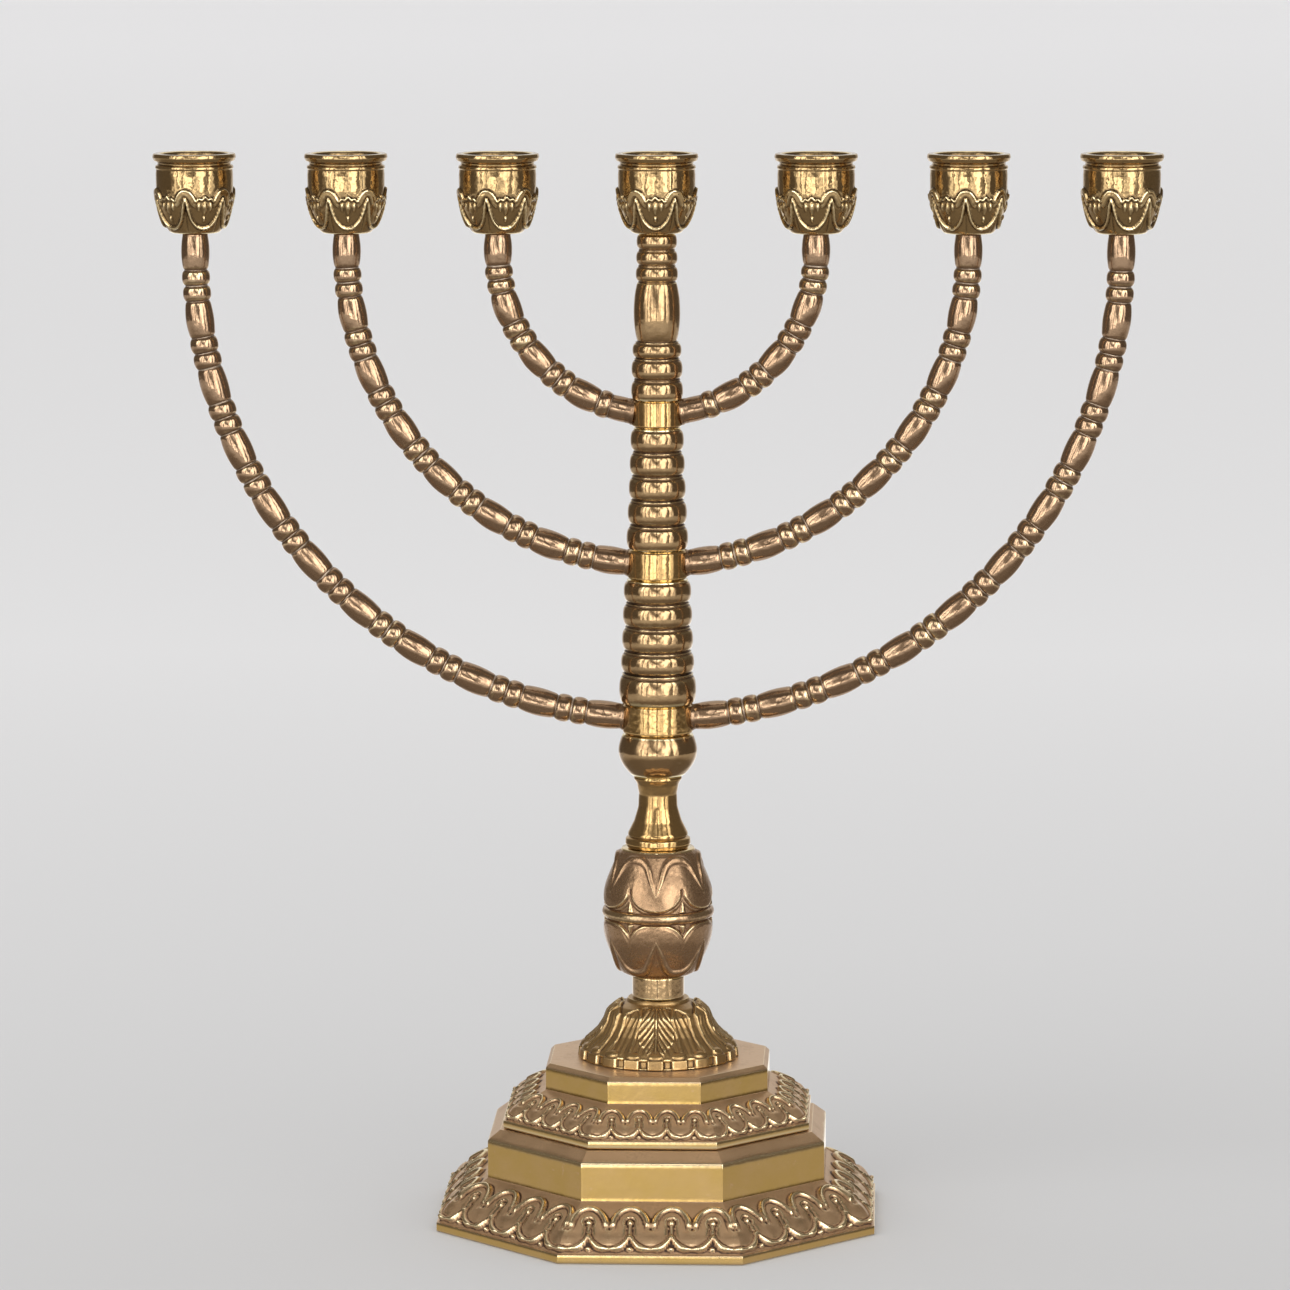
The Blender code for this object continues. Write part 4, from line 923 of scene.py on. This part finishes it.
column("upper_beads", "upper_spacer", np.concatenate([
    ring_beads([(5.6 * MM, 6.7 * MM), (5.2 * MM, 6.85 * MM), (5.6 * MM, 7.0 * MM)],
               high.z + 0.3 * MM, 0.95 * MM),
    barrel,
    ring_beads([(5.6 * MM, 8.15 * MM), (7.0 * MM, 8.5 * MM), (7.4 * MM, 8.65 * MM)],
               barrel_top - BARREL_TALL, 1.15 * MM)]))


# ------------------------------------------------------------------ arms
# Six cast brass arms of long barrels and pairs of round beads, bent to quarter rounds and
# tenoned into the hubs.

# Cast brass, wheel-polished: bright gold with brown where the wheel didn't reach, and pale
# dried polishing paste left in the grooves.
arm_brass = brass("cast_brass_arms", "#B4A28E", "#5A4029", "#A98C70", "#F2DBAE", "#C2A066",
                  rough=(0.42, 0.10, 0.08, 0.2), grain_mm=1.3, ripple=0.3, film=0.3)
BARREL, BEAD, STUB = 1.0, 0.44, 0.7
ARM_PATTERNS = {
    "lower": [BARREL] + 10 * [BEAD, BEAD, BARREL],
    "middle": [BARREL] + 7 * [BEAD, BEAD, BARREL],
    "upper": [STUB, BEAD, BARREL] + 3 * [BEAD, BEAD, BARREL],
}
ARM_STRAIGHT = {"lower": 9.0 * MM, "middle": 7.35 * MM, "upper": 7.05 * MM}
ARM_GROOVE_R = 3.7 * MM
ARM_R = 4.7 * MM
RING_STEP = 0.38 * MM
for tier, pattern in ARM_PATTERNS.items():
    hub_low, hub_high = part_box(f"{tier}_hub")
    hub_r, middle = hub_high.y, (hub_low.z + hub_high.z) / 2
    arm_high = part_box(f"{tier}_arm_right")[1]
    screw_low, screw_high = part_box(f"{tier}_cup_screw_right")
    reach = (screw_low.x + screw_high.x) / 2
    rise = arm_high.z - middle
    angle = np.linspace(0, math.pi / 2, 600)
    route_x = np.append(reach * np.sin(angle), reach)
    route_z = np.append((rise - ARM_STRAIGHT[tier]) * (1 - np.cos(angle)), rise)
    length = np.append(0, np.cumsum(np.hypot(np.diff(route_x), np.diff(route_z))))
    start = float(np.interp(hub_r - 0.8 * MM, route_x, length))
    root = float(np.interp(hub_r, route_x, length))
    unit = (length[-1] - root) / sum(pattern)
    stations = np.linspace(start, length[-1], int((length[-1] - start) / RING_STEP))
    radius = np.full(len(stations), ARM_R - 0.3 * MM)
    place = root
    for share in pattern:
        inside = (stations >= place) & (stations < place + unit * share)
        t = np.clip((stations[inside] - place) / (unit * share), 0, 1)
        if share == BEAD:
            swell = np.clip(1 - np.abs((2 * t - 1) / 0.92) ** 2.1, 0, 1) ** (1 / 2.1)
        elif share == STUB:
            swell = 0.35 + 0.2 * np.sin(math.pi * t)
        else:
            ends = np.clip((0.5 - np.abs(t - 0.5)) * unit * share / (1.1 * MM), 0, 1)
            swell = 0.42 * (1 - (1 - ends) ** 2) ** 0.5 + 0.62 * np.sin(math.pi * t) ** 0.9
        radius[inside] = ARM_GROOVE_R + (ARM_R - ARM_GROOVE_R) * swell
        place += unit * share
    at_hub = stations < root + 1.5 * MM
    radius[at_hub] = np.maximum(radius[at_hub], ARM_R - 0.45 * MM)
    radius[-2:] = radius[-3]
    fillet = 0.2 * MM * np.exp(-np.maximum(stations - root, 0) / (0.4 * MM))
    cx, cz = np.interp(stations, length, route_x), np.interp(stations, length, route_z)
    step_x, step_z = np.gradient(cx), np.gradient(cz)
    step = np.hypot(step_x, step_z)
    round_arm = np.linspace(0, 2 * math.pi, 28, endpoint=False)
    lean = (radius + fillet)[:, None] * np.cos(round_arm)[None, :]
    width = (radius + fillet)[:, None] * np.sin(round_arm)[None, :]
    x = cx[:, None] + lean * (step_z / step)[:, None]
    z = middle + cz[:, None] - lean * (step_x / step)[:, None]
    for side, sign in (("left", -1), ("right", 1)):
        grid = np.stack([sign * x, -sign * width, z], axis=2)
        wear = wear_of(grid, 4, 0, False, 0.19 * MM)
        wear[at_hub] = 0.4
        arm = surface(f"{tier}_branch_{side}", grid, arm_brass, wear, 0.0, wrap_rows=False,
                      caps=True)
        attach(arm, f"{tier}_tier")
        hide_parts(f"{tier}_arm_{side}")


# ------------------------------------------------------------------ candle cups
# Seven cast brass cups, turned on the rim and inside: a rolled rim, a groove with a small
# bead, a plain body and six leafy bowls. The centre one sits on the tie rod, and each other
# one is screwed to its arm at its own turn.

# Bright cast brass, polished last: sharp gold reflections, dark brown cuts in the relief and
# dull grey-brown inside the socket.
cup_brass = brass("cast_brass_bright", "#1E160E", "#443220", "#B2966A", "#F6E2B4", "#C9A35A",
                  rough=(0.42, 0.09, 0.09, 0.15), grain_mm=1.2, ripple=0.35, film=0.15)
CUP_BORE = 11.0 * MM
CUP_FLOOR = 6.3 * MM
CUP_R = 13.0 * MM
BOWLS = 6
# Millimetres round the cup from bowl to bowl, as its relief is drawn.
BOWL_PITCH = 13.6
SEAM_BEARING = math.radians(-69)
SEAM_WIDTH = 0.2 * MM
SEAM_DEEP = 0.12 * MM
# Radius and depth of the sunk floor round the top nut and round a screw head.
NUT_RECESS = (7.77 * MM, 4.2 * MM)
SCREW_RECESS = (3.8 * MM, 2.9 * MM)
SCREW_HOLE = 2.4 * MM


def cup_leaf(across, level):
    """Relief of one bowl in millimetres, across from its middle and up from the cup's foot."""
    across, level = np.broadcast_arrays(across, level)
    bowl = curve([(0, 2.0), (2.6, 2.7), (4.7, 4.8), (5.7, 7.6), (6.2, 10.0), (6.8, 12.0)])
    cap = curve([(6.8, 14.7), (5.3, 14.2), (4.0, 12.7), (3.1, 11.1), (2.1, 12.0), (1.1, 11.6),
                 (0, 12.8)])
    inside = across < np.interp(level, bowl[:, 1], bowl[:, 0], left=-1, right=8)
    below_cap = level < np.interp(across, cap[::-1, 0], cap[::-1, 1])
    relief = np.where(inside & below_cap, 0.25 * smooth(level, 3.0, 11.0), 0.0)
    relief = np.where(~inside & below_cap & (level > 9.0), 0.7 * smooth(level, 9.0, 12.0), relief)
    band = nearest(across, level, cap)
    relief = np.maximum(relief, 0.75 * smooth(band, 2.3, 1.6) * below_cap * smooth(across, 2.8, 3.6))
    relief = np.maximum(relief, 0.90 * tube(band, 0.42))
    relief = np.maximum(relief, 0.95 * tube(nearest(across, level, bowl), 0.5))
    for at, height, wide, tall in ((0.0, 5.2, 0.5, 1.1), (0.0, 8.8, 0.8, 2.2),
                                   (2.1, 9.3, 0.6, 1.6)):
        lobe = tube(np.hypot((across - at) / wide, (level - height) / tall), 1.0)
        relief = np.maximum(relief, 0.75 * lobe)
    groove = np.exp(-((across - 6.8) / 0.4) ** 2) * smooth(level, 11.0, 10.0)
    return relief - 0.35 * groove


def cup(name, node, body, turn_degrees, hole_r, recess, seam_deep):
    """One cup: outside from the rim down through its bowls, then inside from the hole up."""
    recess_r, recess_deep = recess
    low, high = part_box(node)
    tall = high.z - low.z
    centre = ((low.x + high.x) / 2, (low.y + high.y) / 2)
    bowl_top = 15.6 * MM
    t = np.linspace(0, 1, 46)
    bowl = np.stack([(7.9 + 4.9 * np.sin(t * math.pi / 2) ** 0.68) * MM, bowl_top * t],
                    axis=1)[::-1]
    upper, _ = outline([
        (CUP_BORE + 0.7 * MM, tall, 0.4 * MM, 0.3 * MM),
        (13.6 * MM, tall, 0.5 * MM, 0.3 * MM),
        (13.87 * MM, tall - 1.2 * MM, 0.8 * MM, 0.3 * MM),
        (13.4 * MM, tall - 2.4 * MM, 0.4 * MM, 0.3 * MM),
        (12.2 * MM, tall - 2.9 * MM, 0.4 * MM, 0.2 * MM),
        (12.1 * MM, tall - 3.6 * MM, 0.3 * MM, 0.2 * MM),
        (12.9 * MM, tall - 4.0 * MM, 0.4 * MM, 0.2 * MM),
        (13.0 * MM, tall - 4.8 * MM, 0.4 * MM, 0.2 * MM),
        (12.7 * MM, tall - 5.2 * MM, 0.3 * MM, 0.3 * MM),
        (12.85 * MM, tall - 7.0 * MM, 1.0 * MM, 0.4 * MM),
        (12.8 * MM, bowl_top + 0.2 * MM, 0, 0.4 * MM),
    ])
    lower, _ = outline([
        (7.5 * MM, 0, 0.2 * MM, 1.0 * MM),
        (hole_r, 0, 0.1 * MM, 1.0 * MM),
        (hole_r, CUP_FLOOR - recess_deep, 0.1 * MM, 1.0 * MM),
        (recess_r, CUP_FLOOR - recess_deep, 0.1 * MM, 1.0 * MM),
        (recess_r, CUP_FLOOR, 0.2 * MM, 0.8 * MM),
        (CUP_BORE - 0.8 * MM, CUP_FLOOR, 0.3 * MM, 0.8 * MM),
        (CUP_BORE, CUP_FLOOR + 0.8 * MM, 0.3 * MM, 1.5 * MM),
        (CUP_BORE, tall - 0.7 * MM, 0.4 * MM, 0.3 * MM),
    ])
    points = np.concatenate([upper, bowl, lower])
    in_bowl = np.arange(len(points)) - len(upper)
    in_bowl = (in_bowl >= 0) & (in_bowl < len(bowl))
    inner = np.arange(len(points)) > len(upper) + len(bowl) + 4

    def cup_lift(angles):
        level = points[:, 1:] / MM
        share = (angles + math.pi / 2) / (2 * math.pi) * BOWLS
        across = np.abs((share + 0.5) % 1 - 0.5)[None, :] * BOWL_PITCH
        relief = cup_leaf(across, level) * smooth(level, 0.1, 1.6) * MM
        relief = np.where(in_bowl[:, None], relief, 0.0)
        seam = seam_line(angles, SEAM_BEARING, CUP_R, SEAM_WIDTH)[None, :] * (level > 14.5)
        return relief - np.where(inner[:, None], 0.0, seam_deep * seam)

    points_at = points + np.array((0.0, low.z))
    piece = turned(name, points_at, 230, cup_brass, cup_lift, 0.24 * MM, (3, 2), 0.0,
                   math.radians(turn_degrees), centre, inner)
    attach(piece, body)
    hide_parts(node)


CUP_TURNS = {"lower_left": 22, "middle_left": 8, "upper_left": 17, "centre": 0,
             "upper_right": -6, "middle_right": 25, "lower_right": 12}
CUPS_WITH_SEAM = ("centre", "middle_left", "upper_right")
for place, degrees in CUP_TURNS.items():
    seam_deep = SEAM_DEEP if place in CUPS_WITH_SEAM else 0.0
    if place == "centre":
        cup("cup_centre", "centre_cup", "stem", degrees, BORE, NUT_RECESS, seam_deep)
    else:
        tier, side = place.split("_")
        cup(f"cup_{place}", f"{tier}_cup_{side}", f"{tier}_tier", degrees, SCREW_HOLE,
            SCREW_RECESS, seam_deep)


# ------------------------------------------------------------------ rod, nuts, washer, screws
# Bought fixings in zinc-plated steel: the rod and its nuts clamp the whole stem, and a screw
# holds each side cup. The screw heads and the top nut show at the bottom of the sockets, and
# the base nut and washer under the foot.

# Zinc-plated steel, gone dull: grey with a faint spangle of lighter and darker patches.
zinc = bpy.data.materials.new("zinc_plated_steel")
zinc.use_nodes = True
tree = zinc.node_tree
shader = tree.nodes["Principled BSDF"]
place = add(tree, "ShaderNodeTexCoord").outputs["Object"]
spangle = add(tree, "ShaderNodeTexNoise",
              {"Vector": place, "Scale": 1 / (2.5 * MM), "Detail": 3.0})
tint = add(tree, "ShaderNodeMix",
           {"Factor": spangle, 6: linear("#6E6A60"), 7: linear("#A9A79F")}, data_type="RGBA")
tree.links.new(tint.outputs[2], shader.inputs["Base Color"])
sheen = add(tree, "ShaderNodeMapRange",
            {"Value": spangle, "From Min": 0.3, "From Max": 0.7, "To Min": 0.32, "To Max": 0.5})
tree.links.new(sheen.outputs[0], shader.inputs["Roughness"])
shader.inputs["Metallic"].default_value = 1.0
for node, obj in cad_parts.items():
    if "screw" in node or node in ("tie_rod", "top_nut", "base_nut", "base_washer"):
        obj.data.materials.clear()
        obj.data.materials.append(zinc)
